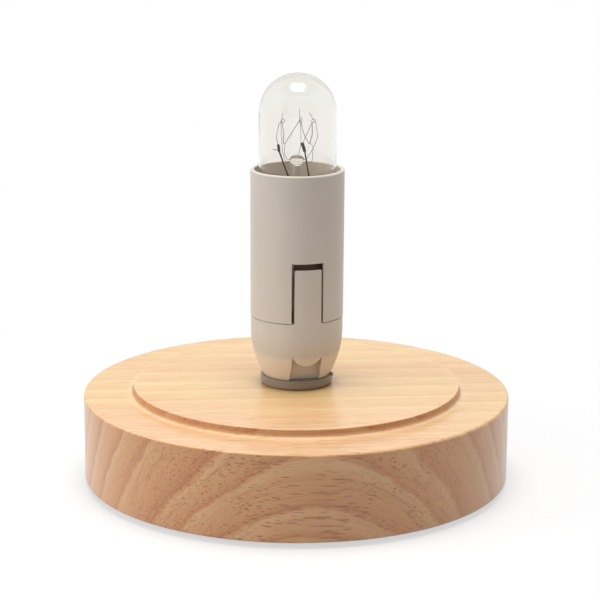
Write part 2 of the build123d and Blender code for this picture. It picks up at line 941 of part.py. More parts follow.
def bulb_cap():
    """Threaded metal cap of the bulb."""
    skirt_radius = skirt_diameter / 2
    outside = threaded_core(
        core_radius, crest_height, cap_thread_start, thread_turns, cap_bottom, skirt_bottom
    )
    outside += turned_corners(
        [
            (0, skirt_bottom, 0),
            (core_radius, skirt_bottom, 0),
            (skirt_radius, skirt_bottom + skirt_radius - core_radius, 0),
            (skirt_radius, cap_top - rim_flare, 0),
            (skirt_radius + rim_flare, cap_top, 0),
            (0, cap_top, 0),
        ]
    )
    inner_core = core_radius - cap_sheet
    inside = threaded_core(
        inner_core,
        crest_height - cap_sheet,
        cap_thread_start,
        thread_turns,
        cap_bottom - cap_sheet,
        cap_top,
    )
    inside += turned_corners(
        [
            (0, skirt_bottom, 0),
            (inner_core, skirt_bottom, 0),
            (skirt_radius - cap_sheet, skirt_bottom + skirt_radius - core_radius, 0),
            (skirt_radius - cap_sheet, cap_top, 0),
            (0, cap_top, 0),
        ]
    )
    return outside - inside


def cap_insulator():
    """Glass insulator that closes the cap around the centre contact."""
    bottom = tip_level + tip_height
    plug_radius = core_radius - cap_sheet - cement_clearance
    body = turned_corners(
        [
            (0, bottom, 0),
            (insulator_small_diameter / 2, bottom, insulator_rounding),
            (insulator_large_diameter / 2, cap_bottom, 0),
            (plug_radius, cap_bottom, 0),
            (plug_radius, cap_bottom + insulator_plug, 0),
            (0, cap_bottom + insulator_plug, 0),
        ]
    )
    return body - disc(lead_diameter, bottom - tip_height, cap_top)


def tip_contact():
    """Soldered centre contact with a crowned face."""
    radius = tip_diameter / 2
    top = tip_level + tip_height
    edge = tip_level + tip_crown
    middle = tip_level + tip_crown / 4
    edges = [
        ThreePointArc((0, tip_level), (radius / 2, middle), (radius, edge)),
        Line((radius, edge), (radius, top)),
        Line((radius, top), (0, top)),
        Line((0, top), (0, tip_level)),
    ]
    return turned(make_face(edges))


def cap_cement():
    """Ring of cement between the neck of the glass and the cap."""
    outer = skirt_diameter / 2 - cap_sheet - cement_clearance
    inner = neck_diameter / 2 + cement_clearance
    bottom = skirt_bottom + skirt_diameter / 2 - core_radius + cement_inset
    return ring(outer, inner, bottom, cap_top - cement_inset)


def glass_outline():
    """Outline of the bulb's glass on both sides of its axis, longer than the neck below."""
    radius = bulb_diameter / 2
    neck = neck_diameter / 2
    top = tip_level + bulb_length
    low = cap_top + shoulder_rise
    step = radius - neck
    turn = 2 * math.atan(step / shoulder_height)
    rounding = glass_turn_share * shoulder_height / (2 * math.sin(turn))
    reach = shoulder_height / 2 * math.tan(turn / 2) / math.sin(turn)
    bottom = tip_level + neck_bottom - 4 * glass_wall
    right = [
        (neck, bottom, 0),
        (neck, low + reach, rounding),
        (radius, low + shoulder_height - reach, rounding),
        (radius, top, crown_share * radius),
    ]
    left = [(-across, up, rounding) for across, up, rounding in reversed(right)]
    return rounded_face(right + left)


def glass_envelope():
    """Tubular glass with a round top, a shoulder and a neck inside the cap."""
    outside = glass_outline()
    wall = outside - offset(outside, amount=-glass_wall)
    half = Pos(0, tip_level + neck_bottom) * Rectangle(
        bulb_diameter, bulb_length, align=(Align.MIN, Align.MIN)
    )
    return turned(wall & half)


def lead_routes():
    """Routes of the two lead wires: up from the cap, through the press and out to the crimps."""
    side = lead_spacing / 2
    split = tip_level + exhaust_bottom - lead_split_drop
    press_exit = tip_level + press_top + lead_press_overrun
    weld = core_radius - cap_sheet
    left = [
        (0, 0, tip_level + tip_height),
        (0, 0, split),
        (-side, 0, split + lead_split_height),
        (-side, 0, press_exit),
    ]
    left += [raised(point) for point in left_lead_points]
    right = [
        (weld, 0, tip_level + side_weld_level),
        (side, 0, tip_level + neck_bottom),
        (side, 0, press_exit),
    ]
    right += [raised(point) for point in right_lead_points]
    return left, right


def lead_wires():
    """Two lead wires, each with a crimp that grips the filament."""
    left, right = lead_routes()
    left_wire = wire(left, lead_diameter)
    left_wire += wire([left[-1], raised(left_crimp_top)], crimp_diameter)
    left_wire += wire([left[-1], raised(left_pin_end)], pin_diameter)
    right_wire = wire(right, lead_diameter)
    right_wire += wire([right[-1], raised(right_crimp_top)], crimp_diameter)
    trim = disc(core_radius - cap_sheet, tip_level, 2 * tip_level)
    return [left_wire & trim, right_wire & trim]


def glass_stem():
    """Flare, press, exhaust tube, rod and button, all of one glass."""
    flare_bottom = tip_level + neck_bottom
    tube_radius = stem_tube_diameter / 2
    flare_radius = flare_diameter / 2
    flare_top = flare_bottom + flare_height
    tube_top = tip_level + press_bottom + glass_overlap
    bell = turned_corners(
        [
            (flare_radius - stem_tube_wall, flare_bottom, 0),
            (flare_radius, flare_bottom, 0),
            (tube_radius, flare_top, flare_height / 2),
            (tube_radius, tube_top, 0),
            (tube_radius - stem_tube_wall, tube_top, 0),
            (tube_radius - stem_tube_wall, flare_top, flare_height / 2),
        ]
    )
    press = Pos(0, 0, tip_level + press_bottom) * Box(
        press_width, press_depth, press_top - press_bottom, align=STAND
    )
    press = fillet(press.edges().filter_by(Axis.Z), press_rounding)
    exhaust = ring(
        exhaust_diameter / 2,
        exhaust_diameter / 2 - exhaust_wall,
        tip_level + exhaust_bottom,
        tip_level + press_bottom,
    )
    rod = Pos(mount_offset, 0, 0) * disc(
        rod_diameter / 2, tip_level + press_top - glass_overlap, tip_level + button_level
    )
    half_height = button_height / 2
    button = Pos(mount_offset, 0, tip_level + button_level) * turned_corners(
        [
            (0, -half_height, 0),
            (button_diameter / 2, -half_height, button_rounding),
            (button_diameter / 2, half_height, button_rounding),
            (0, half_height, 0),
        ]
    )
    glass = bell + press + exhaust + rod + button
    for points in lead_routes():
        glass -= wire(points, lead_diameter)
    return glass


def filament():
    """Fine coil from one crimp to the other, over three upper and two lower supports."""
    points = [left_crimp_top] + filament_points + [right_crimp_top]
    thread = wire([raised(point) for point in points], filament_diameter)
    for piece in lead_wires():
        thread -= piece
    return thread


def filament_supports():
    """Hair-thin wires from the button that hold the filament."""
    button = (mount_offset, 0, button_level)
    supports = [
        wire([raised(point) for point in [button] + points], support_diameter)
        for points in support_points
    ]
    glass = glass_stem()
    return [support - glass for support in supports]


PIECES = {
    "wood_base": wood_base,
    "rubber_feet": rubber_feet,
    "cover_plate": cover_plate,
    "cover_screws": cover_screws,
    "inlet_bush": inlet_bush,
    "threaded_nipple": threaded_nipple,
    "flat_washer": flat_washer,
    "lock_washer": lock_washer,
    "hex_nut": hex_nut,
    "seat_ring": seat_ring,
    "holder_dome": holder_dome,
    "holder_shell": holder_shell,
    "terminal_insert": terminal_insert,
    "screw_shell": screw_shell,
    "shell_terminal": shell_terminal,
    "contact_terminal": contact_terminal,
    "terminal_screws": terminal_screws,
    "insert_rivets": insert_rivets,
    "contact_tongue": contact_tongue,
    "glass_envelope": glass_envelope,
    "glass_stem": glass_stem,
    "lead_wires": lead_wires,
    "filament": filament,
    "filament_supports": filament_supports,
    "bulb_cap": bulb_cap,
    "cap_insulator": cap_insulator,
    "tip_contact": tip_contact,
    "cap_cement": cap_cement,
}

os.makedirs("parts", exist_ok=True)
for name, build in PIECES.items():
    made = build()
    if isinstance(made, list):
        made = Compound(children=[solid for part in made for solid in part.solids()])
    export_step(made, f"parts/{name}.step")
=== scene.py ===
import math

import bmesh
import bpy
from bpy.props import FloatProperty, FloatVectorProperty, IntProperty, PointerProperty
from mathutils import Matrix, Vector


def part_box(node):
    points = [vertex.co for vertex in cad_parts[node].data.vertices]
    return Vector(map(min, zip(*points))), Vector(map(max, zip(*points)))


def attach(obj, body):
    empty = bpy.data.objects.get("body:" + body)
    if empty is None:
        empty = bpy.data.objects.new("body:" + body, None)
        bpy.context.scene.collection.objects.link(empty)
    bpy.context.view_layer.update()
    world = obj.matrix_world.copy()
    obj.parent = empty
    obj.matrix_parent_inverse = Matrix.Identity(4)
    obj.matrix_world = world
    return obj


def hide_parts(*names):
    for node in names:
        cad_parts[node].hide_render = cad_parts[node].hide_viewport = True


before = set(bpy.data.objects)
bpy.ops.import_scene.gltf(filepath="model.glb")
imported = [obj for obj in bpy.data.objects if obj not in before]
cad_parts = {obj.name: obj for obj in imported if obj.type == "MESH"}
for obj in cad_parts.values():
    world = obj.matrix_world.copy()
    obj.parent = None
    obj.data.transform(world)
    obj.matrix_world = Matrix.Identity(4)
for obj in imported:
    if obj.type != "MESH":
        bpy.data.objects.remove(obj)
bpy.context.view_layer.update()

bl_info = {
    "name": "Wooden Table Lamp",
    "version": (1, 0, 0),
    "blender": (4, 5, 0),
    "location": "View3D > Sidebar > Table Lamp",
    "description": "Dresses a table lamp: turned wooden base, screw holder and clear tubular bulb",
    "category": "Add Mesh",
}

MM = 0.001


def packed_box(node):
    """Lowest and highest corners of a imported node, in millimetres."""
    low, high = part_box(node)
    return Vector(low) / MM, Vector(high) / MM


wood_high = packed_box("wood_base")[1]
ring_low = packed_box("seat_ring")[0]
dome_low, dome_high = packed_box("holder_dome")
shell_low, shell_high = packed_box("holder_shell")
glass_low, glass_high = packed_box("glass_envelope")
stem_low = packed_box("glass_stem")[0]
cap_high = packed_box("bulb_cap")[1]
tip_low, tip_high = packed_box("tip_contact")


def tint(red, green, blue):
    """Scene-linear colour from 8-bit display values."""
    linear = []
    for value in (red, green, blue):
        part = value / 255
        linear.append(part / 12.92 if part <= 0.04045 else ((part + 0.055) / 1.055) ** 2.4)
    return tuple(linear)


def shade(tone, part):
    """Darker version of a colour."""
    return [value * part for value in tone]


def length(name, description, millimetres):
    return FloatProperty(
        name=name, description=description, default=millimetres * MM, unit="LENGTH", precision=5
    )


def angle(name, description, degrees):
    return FloatProperty(
        name=name, description=description, default=math.radians(degrees), unit="ROTATION"
    )


def colour(name, description, red, green, blue):
    return FloatVectorProperty(
        name=name,
        description=description,
        default=tint(red, green, blue),
        subtype="COLOR",
        size=3,
        min=0.0,
        max=1.0,
    )


def share(name, description, value):
    return FloatProperty(
        name=name, description=description, default=value, subtype="FACTOR", min=0.0, max=1.0
    )


class WoodProperties(bpy.types.PropertyGroup):
    """Grain and colours of the turned base."""

    grain_turn: angle("Grain turn", "Angle between the grain and the lamp's width", 5.0)
    ring_tilt: angle("Ring tilt", "Lean of the growth rings from upright", 26.0)
    ring_waver: length("Ring waver", "How far the growth rings stray from flat", 0.8)
    pale: colour("Pale wood", "Wood just before the edge of a ring", 239, 211, 154)
    warm: colour("Warm wood", "Wood just beyond the edge of a ring", 214, 154, 100)
    pink: colour("Pink wood", "Pinkish patches", 228, 168, 122)
    pore: colour("Pores", "Inside of the open vessels", 146, 66, 26)
    # Painted reflection: a lighter, pinker tone on the front of the top
    front_reflection_tint: colour("Front reflection tint", "Wood along the front of the rim", 242, 196, 158)
    # Painted highlight: a light line on the disc's upper edge and a faint one beyond its groove
    edge: colour("Painted edge highlight", "Upper edge of the raised disc", 252, 228, 184)
    # Painted shade in the groove at the foot of the raised disc
    groove: colour("Groove", "Hollow at the foot of the raised disc", 188, 136, 90)
    disc_rise: length("Disc rise", "Height of the raised disc above the rim", 2.5)
    disc_radius: length("Disc radius", "Radius of the raised disc", 47.5)
    coat: share("Lacquer", "Weight of the clear lacquer", 0.65)


class HolderProperties(bpy.types.PropertyGroup):
    """Sizes and finish of the lampholder and its spacer ring."""

    latch_turn: angle("Latch turn", "Direction of the front latch, to the right of the front", 14.7)
    arm_width: length("Latch width", "Width of the latch arms", 7.9)
    window_gap: length("Window gap", "Gap on the right of a latch arm", 0.5)
    window_left: length("Wide window gap", "Gap on the left of a latch arm", 0.72)
    window_head: length("Window head", "Gap above a latch arm", 1.25)
    seam: length("Seam", "Gap between the two halves of the holder", 0.14)
    softness: length("Edge softness", "Rounding of the moulded edges", 0.14)
    segments: IntProperty(
        name="Segments", description="Steps round the holder", default=192, min=48, max=384
    )
    plastic: colour("Holder plastic", "Moulded grey-beige plastic", 214, 206, 196)
    spacer: colour("Spacer plastic", "Moulded ring under the holder", 147, 133, 120)
    insert: colour("Insert plastic", "Insulating body inside the holder", 126, 102, 82)


class BulbProperties(bpy.types.PropertyGroup):
    """Sizes and finish of the bulb."""

    wall: length("Glass wall", "Thickness of the glass", 0.45)
    coil: length("Coil", "Outer diameter of the filament's coil", 0.22)
    coil_pitch: length("Coil pitch", "Step of the filament's coil", 0.1)
    coil_wire: length("Coil wire", "Diameter of the coiled wire", 0.06)
    hook_wire: length("Support wire", "Diameter of the filament supports", 0.13)
    lead_wire: length("Lead wire", "Diameter of the lead wires", 0.46)
    glass: colour("Glass", "Clear glass", 248, 247, 244)
    lead: colour("Lead wire colour", "Oxidised nickel wire", 48, 37, 31)
    thin_wire: colour("Thin wire", "Filament and its supports", 62, 53, 45)


class StudioProperties(bpy.types.PropertyGroup):
    """Camera, floor and light."""

    lens: FloatProperty(name="Lens", description="Focal length, in millimetres", default=127.23)
    distance: length("Distance", "From the camera to the middle of the lamp", 615.6)
    elevation: angle("Elevation", "Height of the camera above the horizon", 13.88)
    roll: angle("Roll", "Turn of the picture", 0.33)
    aim_height: length("Aim height", "Level that the camera looks at", 53.55)
    aim_side: length("Aim side", "Shift of the camera and its aim to the right", 0.93)
    gleam: share("Gleam", "Brightness of the overhead softbox in gloss", 0.08)
    ambient: share("Ambient", "Light from all round", 0.42)
    room: colour("Room", "Room behind the camera, as gloss shows it", 202, 200, 192)
    table: colour("Table", "Floor beside the lamp, as gloss shows it", 239, 212, 186)
    glare: colour("Glare", "Room beyond the lamp, as gloss shows it", 240, 240, 237)
    bounce: share("Bounce", "Brightness of the floor where it lights the lamp", 0.45)
    shadow: share("Shadow", "How much of the lamp's shadow the floor shows", 0.4)
    top_light: FloatProperty(
        name="Top light", description="Overhead softbox, in watts", default=16.6
    )
    side_light: FloatProperty(name="Side light", description="Left softbox, in watts", default=9.8)


# Limits of the mesh kit, in millimetres and degrees
ON_AXIS = 0.0001
WELD_REACH = 0.002
BEVEL_ANGLE = 32.0
BEND_STEPS = 8


def rounded_outline(corners, steps=6):
    """Points along an outline of (across, up, rounding) corners."""
    points = []
    for number, (across, up, rounding) in enumerate(corners):
        here = Vector((across, up))
        if rounding <= 0:
            points.append(here)
            continue
        back = (Vector(corners[number - 1][:2]) - here).normalized()
        ahead = (Vector(corners[(number + 1) % len(corners)][:2]) - here).normalized()
        half = back.angle(ahead) / 2
        centre = here + (back + ahead).normalized() * rounding / math.sin(half)
        reach = rounding / math.tan(half)
        start, finish = ((here + way * reach - centre).normalized() for way in (back, ahead))
        for step in range(steps + 1):
            points.append(centre + start.slerp(finish, step / steps) * rounding)
    return points


def arc(centre, radius, start, finish, steps):
    """Points of an arc between two angles in degrees."""
    points = []
    for step in range(steps + 1):
        turn = math.radians(start + (finish - start) * step / steps)
        points.append(Vector(centre) + Vector((math.cos(turn), math.sin(turn))) * radius)
    return points


def finished(form):
    """Mesh from a bmesh, which is used up."""
    mesh = bpy.data.meshes.new("form")
    form.to_mesh(mesh)
    form.free()
    return mesh


def faced(form):
    """Mesh from a closed bmesh, with its faces turned outward."""
    bmesh.ops.recalc_face_normals(form, faces=form.faces)
    return finished(form)


def turned_mesh(outline, segments):
    """Solid of revolution about Z from a closed outline of (radius, height) points."""
    form = bmesh.new()
    rings = []
    for radius, height in map(Vector, outline):
        if radius < ON_AXIS:
            rings.append([form.verts.new((0.0, 0.0, height))] * segments)
            continue
        ring = []
        for number in range(segments):
            turn = 2 * math.pi * number / segments
            spot = (radius * math.cos(turn), radius * math.sin(turn), height)
            ring.append(form.verts.new(spot))
        rings.append(ring)
    for near, far in zip(rings, rings[1:] + rings[:1]):
        for number in range(segments):
            after = (number + 1) % segments
            corners = [near[number], near[after], far[after], far[number]]
            corners = list(dict.fromkeys(corners))
            if len(corners) > 2:
                form.faces.new(corners)
    return faced(form)


def lofted_mesh(rings):
    """Closed skin over rings of points, with flat ends."""
    form = bmesh.new()
    loops = [[form.verts.new(point) for point in ring] for ring in rings]
    for near, far in zip(loops, loops[1:]):
        for number in range(len(near)):
            after = (number + 1) % len(near)
            form.faces.new((near[number], near[after], far[after], far[number]))
    form.faces.new(loops[0])
    form.faces.new(loops[-1])
    return faced(form)


def squircle(centre, across, along, squareness, count):
    """Ring of points about a centre, round at a squareness of 2 and squarer above."""
    points = []
    for number in range(count):
        turn = 2 * math.pi * number / count
        swing, sway = (
            math.copysign(abs(part) ** (2 / squareness), part)
            for part in (math.cos(turn), math.sin(turn))
        )
        points.append(Vector(centre) + Vector(across) * swing + Vector(along) * sway)
    return points


def extruded_mesh(outline, near, far):
    """Upright slab from an (x, z) outline, between two places along Y."""
    return lofted_mesh([[Vector((x, reach, z)) for x, z in outline] for reach in (near, far)])


def box_mesh(low, high):
    corners = [(low[0], low[2]), (high[0], low[2]), (high[0], high[2]), (low[0], high[2])]
    return extruded_mesh(corners, low[1], high[1])


def joined(meshes):
    """One mesh from several, which are used up."""
    form = bmesh.new()
    for mesh in meshes:
        form.from_mesh(mesh)
        bpy.data.meshes.remove(mesh)
    return finished(form)


def front_and_back(mesh, turn):
    """A mesh that faces the front, turned to face the front latch and the back one."""
    other = mesh.copy()
    mesh.transform(Matrix.Rotation(turn, 4, "Z"))
    other.transform(Matrix.Rotation(turn + math.pi, 4, "Z"))
    return joined([mesh, other])


def placed(name, data):
    """New object in the scene."""
    thing = bpy.data.objects.new(name, data)
    bpy.context.scene.collection.objects.link(thing)
    return thing


def taken_from(worker, *tools):
    """Mesh of a temporary object with its modifiers applied."""
    graph = bpy.context.evaluated_depsgraph_get()
    mesh = bpy.data.meshes.new_from_object(worker.evaluated_get(graph))
    for thing in (worker, *tools):
        bpy.data.objects.remove(thing)
    return mesh


def shaped(mesh, *steps, solver="EXACT"):
    """Applies boolean steps to a mesh, each an operation and a mesh."""
    worker = placed("worker", mesh)
    tools = []
    for operation, other in steps:
        tools.append(placed("tool", other))
        modifier = worker.modifiers.new(operation, "BOOLEAN")
        modifier.operation = operation
        modifier.solver = solver
        modifier.object = tools[-1]
    return taken_from(worker, *tools)


def welded(mesh):
    """Joins points that lie on each other and drops faces without an area or laid on a twin."""
    form = bmesh.new()
    form.from_mesh(mesh)
    bmesh.ops.remove_doubles(form, verts=form.verts, dist=WELD_REACH)
    wide = [face for face in form.faces if len(face.verts) > 3]
    bmesh.ops.triangulate(form, faces=wide)
    bmesh.ops.dissolve_degenerate(form, edges=form.edges, dist=WELD_REACH)
    twins = {}
    for face in form.faces:
        twins.setdefault(frozenset(face.verts), []).append(face)
    doubled = [face for pair in twins.values() if len(pair) > 1 for face in pair]
    bmesh.ops.delete(form, geom=doubled, context="FACES")
    form.to_mesh(mesh)
    form.free()
    return mesh


def softened(mesh, width, weld=False):
    """Rounds the sharp edges a little and shades the rest smooth."""
    worker = placed("worker", mesh)
    bevel = worker.modifiers.new("edges", "BEVEL")
    bevel.width = width
    bevel.segments = 2
    bevel.limit_method = "ANGLE"
    bevel.angle_limit = math.radians(BEVEL_ANGLE)
    bevel.use_clamp_overlap = False
    mesh = taken_from(worker)
    return smoothed(welded(mesh) if weld else mesh)


def smoothed(mesh, crease=50.0):
    """Smooth shading that keeps large faces flat and edges above an angle sharp."""
    mesh.shade_smooth()
    mesh.set_sharp_from_angle(angle=math.radians(crease))
    worker = placed("worker", mesh)
    worker.modifiers.new("normals", "WEIGHTED_NORMAL").keep_sharp = True
    return taken_from(worker)


def bent_route(knots, bend, step):
    """Points a step apart along straight runs, with a bend of a given reach at each knot."""
    knots = [Vector(knot) for knot in knots]
    dense = [knots[0]]
    for before, here, after in zip(knots, knots[1:], knots[2:]):
        near, far = (
            here + way.normalized() * min(bend, way.length / 2)
            for way in (before - here, after - here)
        )
        for number in range(BEND_STEPS + 1):
            part = number / BEND_STEPS
            dense.append(near.lerp(here, part).lerp(here.lerp(far, part), part))
    dense.append(knots[-1])
    route = [dense[0]]
    left = step
    for near, far in zip(dense, dense[1:]):
        run = (far - near).length
        gone = 0.0
        while run - gone >= left:
            gone += left
            route.append(near.lerp(far, gone / run))
            left = step
        left -= run - gone
    return route


def coiled_route(route, radius, per_turn):
    """Helix around a route of evenly spaced points."""
    side = Vector((0.0, 1.0, 0.0))
    points = []
    for number, (here, after) in enumerate(zip(route, route[1:])):
        along = (after - here).normalized()
        side = (side - along * side.dot(along)).normalized()
        turn = 2 * math.pi * number / per_turn
        points.append(here + (side * math.cos(turn) + along.cross(side) * math.sin(turn)) * radius)
    return points


def wire_mesh(routes, diameter, resolution=2):
    """Round wires along routes of points."""
    curve = bpy.data.curves.new("wire", "CURVE")
    curve.dimensions = "3D"
    curve.bevel_depth = diameter / 2
    curve.bevel_resolution = resolution
    curve.use_fill_caps = True
    for route in routes:
        spline = curve.splines.new("POLY")
        spline.points.add(len(route) - 1)
        for knot, point in zip(spline.points, route):
            knot.co = (*point, 1.0)
    mesh = taken_from(placed("worker", curve))
    mesh.shade_smooth()
    return mesh


def show(name, mesh, node, body, material):
    """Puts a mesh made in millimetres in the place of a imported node."""
    mesh.name = name
    mesh.transform(Matrix.Scale(MM, 4))
    mesh.materials.clear()
    mesh.materials.append(material)
    piece = placed(name, mesh)
    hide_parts(node)
    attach(piece, body)


def dress(node, material):
    """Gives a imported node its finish."""
    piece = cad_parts[node]
    piece.data.materials.clear()
    piece.data.materials.append(material)


class Graph:
    """Short ways to add and join the nodes of a tree. Places and spans are in millimetres."""

    def __init__(self, tree):
        self.tree = tree

    def add(self, kind, *values, named=None, **settings):
        """Adds a node and returns its outputs. Its inputs are given in order or by name."""
        node = self.tree.nodes.new("ShaderNode" + kind)
        for key, value in settings.items():
            setattr(node, key, value)
        for key, value in [*enumerate(values), *(named or {}).items()]:
            self.feed(node, key, value)
        return node.outputs

    def feed(self, node, key, value):
        if isinstance(value, bpy.types.NodeSocket):
            self.tree.links.new(value, node.inputs[key])
        else:
            node.inputs[key].default_value = value

    def place(self):
        """Place on the object."""
        place = self.add("TexCoord")["Object"]
        return self.add("VectorMath", place, named={"Scale": 1 / MM}, operation="SCALE")[0]

    def parts(self, vector):
        return self.add("SeparateXYZ", vector)

    def reach(self, vector):
        """Distance of a place from the upright axis."""
        flat = self.scaled(vector, (1.0, 1.0, 0.0))
        return self.add("VectorMath", flat, operation="LENGTH")["Value"]

    def upright(self):
        """How much a surface faces up or down, from 0 to 1."""
        return self.math("ABSOLUTE", self.parts(self.add("TexCoord")["Normal"])["Z"])

    def turned(self, vector, axis, turn):
        return self.add("VectorRotate", vector, named={"Angle": turn}, rotation_type=axis)[0]

    def scaled(self, vector, factors):
        return self.add("VectorMath", vector, factors, operation="MULTIPLY")[0]

    def noise(self, vector, scale, detail=2.0, roughness=0.5):
        named = {"Scale": scale, "Detail": detail, "Roughness": roughness}
        return self.add("TexNoise", vector, named=named)["Fac"]

    def grain(self, vector, stretch, detail=2.0, roughness=0.5):
        """Noise with its own scale along each axis."""
        return self.noise(self.scaled(vector, stretch), 1.0, detail, roughness)

    def math(self, operation, first, second=0.0, third=0.0):
        return self.add("Math", first, second, third, operation=operation)[0]

    def times(self, first, second):
        return self.math("MULTIPLY", first, second)

    def span(self, value, low, high, new_low=0.0, new_high=1.0):
        """Maps a value from one span to another, and holds it there."""
        return self.add("MapRange", value, low, high, new_low, new_high)[0]

    def band(self, value, start, full, fading, end):
        """1 in the middle of a band and 0 outside it."""
        return self.times(self.span(value, start, full), self.span(value, end, fading))

    def ramp(self, value, stops):
        """Grey value that runs between (place, grey) stops."""
        grey_value = self.add("ValToRGB", value)[0]
        elements = grey_value.node.color_ramp.elements
        while len(elements) > 1:
            elements.remove(elements[-1])
        for number, (place, grey) in enumerate(stops):
            element = elements[0] if number == 0 else elements.new(place)
            element.position = place
            element.color = (grey, grey, grey, 1.0)
        return grey_value

    def blend(self, factor, first, second, mode="MIX"):
        """Colour between two, or their product. The sockets are those that colours use."""
        outputs = self.add("Mix", factor, data_type="RGBA", blend_type=mode)
        for index, value in ((6, first), (7, second)):
            if not isinstance(value, bpy.types.NodeSocket):
                value = (*value, 1.0)
            self.feed(outputs[2].node, index, value)
        return outputs[2]

    def layered(self, base, *layers):
        """Colour under layers, each a factor and a colour."""
        for factor, tone in layers:
            base = self.blend(factor, base, tone)
        return base

    def slide(self, factor, first, second):
        """Number that goes from the first to the second."""
        return self.math("MULTIPLY_ADD", factor, self.math("SUBTRACT", second, first), first)

    def mixed(self, factor, first, second):
        """One surface shader from two."""
        return self.add("MixShader", factor, first, second)[0]

    def relief(self, height, depth, strength, **named):
        """Bump from a height of 0 to 1, over another Normal if one is named."""
        named.update({"Height": height, "Distance": depth * MM, "Strength": strength})
        return self.add("Bump", named=named)["Normal"]


class Shader(Graph):
    """Material with one principled surface."""

    def __init__(self, name):
        self.material = bpy.data.materials.new(name)
        self.material.use_nodes = True
        super().__init__(self.material.node_tree)
        self.surface = self.tree.nodes["Principled BSDF"]
        self.output = self.tree.nodes["Material Output"]

    def finish(self, **inputs):
        """Sets the shader's inputs, with underscores for spaces."""
        for key, value in inputs.items():
            self.feed(self.surface, key.replace("_", " "), value)
        return self.material

    def clear_of_shadow(self):
        """Lets the lamps' light straight through a glass surface."""
        in_shade = self.add("LightPath")["Is Shadow Ray"]
        clear = self.add("BsdfTransparent")[0]
        self.feed(self.output, "Surface", self.mixed(in_shade, self.surface.outputs[0], clear))
        return self.material


# Edges of the growth rings across the wood, in millimetres, front half and back half
FRONT_RINGS = (-58.5, -53.7, -50.6, -44.5, -39.4, -28.4, -20.5, -12.0)
BACK_RINGS = (-3.0, 6.0, 14.0, 23.0, 33.0, 42.0, 51.0, 60.0)
RING_REACH = 70.0
RING_MIDDLE = BACK_RINGS[0] - 2.0
EVEN_GREY = 0.45
# Greys about a ring's edge, each with its distance from the edge
RING_PROFILE = ((-2.0, 0.5), (-0.15, 1.0), (0.1, 0.0))
# Strays of the rings: scale of the noise along the axes, its detail and its share of the waver
WAVERS = (((0.012, 0.03, 0.05), 1.0, 1.0), ((0.08, 0.25, 0.3), 2.0, 0.5))
# Noises of the grain: scale along the axes, detail and roughness
SHEETS = ((0.01, 1.1, 0.06), 3.0, 0.65)
STREAKS = ((0.05, 1.6, 1.0), 3.0, 0.65)
FLECKS = ((0.15, 1.3, 1.3), 4.0, 0.7)
LINES = ((0.012, 2.4, 0.12), 2.0, 0.6)
FIBRES = ((0.2, 6.0, 6.0), 2.0, 0.6)
PATCHES = ((0.015, 0.06, 0.05), 1.0)
CROWDS = ((0.03, 0.16, 0.16), 1.0)
# Layers of grain: noise, values where it starts and is full, weight on the side and on the flat,
# whether the weight on the side falls away from the middle, where a painted sheen pales it, and
# colour
GRAIN_LAYERS = (
    (SHEETS, 0.42, 0.68, 0.6, 0.15, True, "warm"),
    (STREAKS, 0.48, 0.7, 0.6, 0.35, False, "pink"),
    (FLECKS, 0.53, 0.68, 0.5, 0.45, False, "warm"),
    (LINES, 0.58, 0.66, 0.3, 0.08, True, "pore"),
)
# Open vessels: scale along the grain and across it, half width and share of them that is kept
VESSELS = ((0.04, 1.2, 0.3, 0.6), (0.08, 1.1, 0.28, 0.8), (0.16, 1.7, 0.28, 0.6))
# Bands round the edge of the raised disc: start, full, fading and end, outward from the edge
# The first band carries a painted highlight on the disc's upper edge
EDGE_HIGHLIGHT_BAND = (-0.9, -0.5, -0.1, 0.1)
# The second band carries painted shade in the groove
SHADED_GROOVE_BAND = (-0.05, 0.05, 0.5, 0.65)
# The third band carries a faint painted highlight beyond the groove
FOOT_HIGHLIGHT_BAND = (0.5, 0.65, 1.6, 2.6)
# Spans over the base: from the middle to its sides, towards the front and towards the back; the
# first pales grain, pores and end grain towards the sides, as a painted sheen
SHEEN_FREE_SPAN = (28.0, 58.0, 1.0, 0.3)
# The span towards the front carries a painted reflection: a lighter, pinker top
FRONT_SPAN = (-18.0, -50.0)
# The span towards the back keeps the painted edge highlight to the back of the disc
BACK_SPAN = (-20.0, 20.0, 0.0, 0.3)
# Depths below the side of the rim and below its top where the finish changes
RIM_SIDE = (1.3, 1.2)
RIM_CREST = (0.45, 0.15)
DULL_SIDE = (0.8, 0.5)
# Multipliers of the colour of end grain, far from the middle and in the middle: partly end grain
# and partly painted shade on the upright side, lighter far from the middle as a painted sheen
END_GRAIN_AND_SHADE_TONES = ((0.96, 0.92, 0.91), (0.92, 0.86, 0.87))
# Multiplier that paints the plastic inside a bore lighter and warmer, as painted light
BORE_LIGHT_TONE = (1.16, 1.1, 1.03)


def ring_stops(edges, end):
    """Stops of a ramp: lighter towards each ring's edge, and dark just beyond it."""
    places = [(edge + offset, grey) for edge in edges for offset, grey in RING_PROFILE]
    places = [(-RING_REACH, EVEN_GREY), *places, (end, EVEN_GREY)]
    return [((place + RING_REACH) / (2 * RING_REACH), grey) for place, grey in places]


def ring_pattern(shader, place, waver):
    """Growth rings across the wood, as a grey value."""
    across = shader.parts(place)["Y"]
    for stretch, detail, part in WAVERS:
        stray = shader.grain(place, stretch, detail)
        stray = shader.span(stray, 0.2, 0.8, -part * waver, part * waver)
        across = shader.math("ADD", across, stray)
    along_ramp = shader.span(across, -RING_REACH, RING_REACH)
    near = shader.ramp(along_ramp, ring_stops(FRONT_RINGS, RING_MIDDLE))
    far = shader.ramp(along_ramp, ring_stops(BACK_RINGS, RING_REACH))
    return shader.blend(shader.math("GREATER_THAN", across, RING_MIDDLE), near, far)


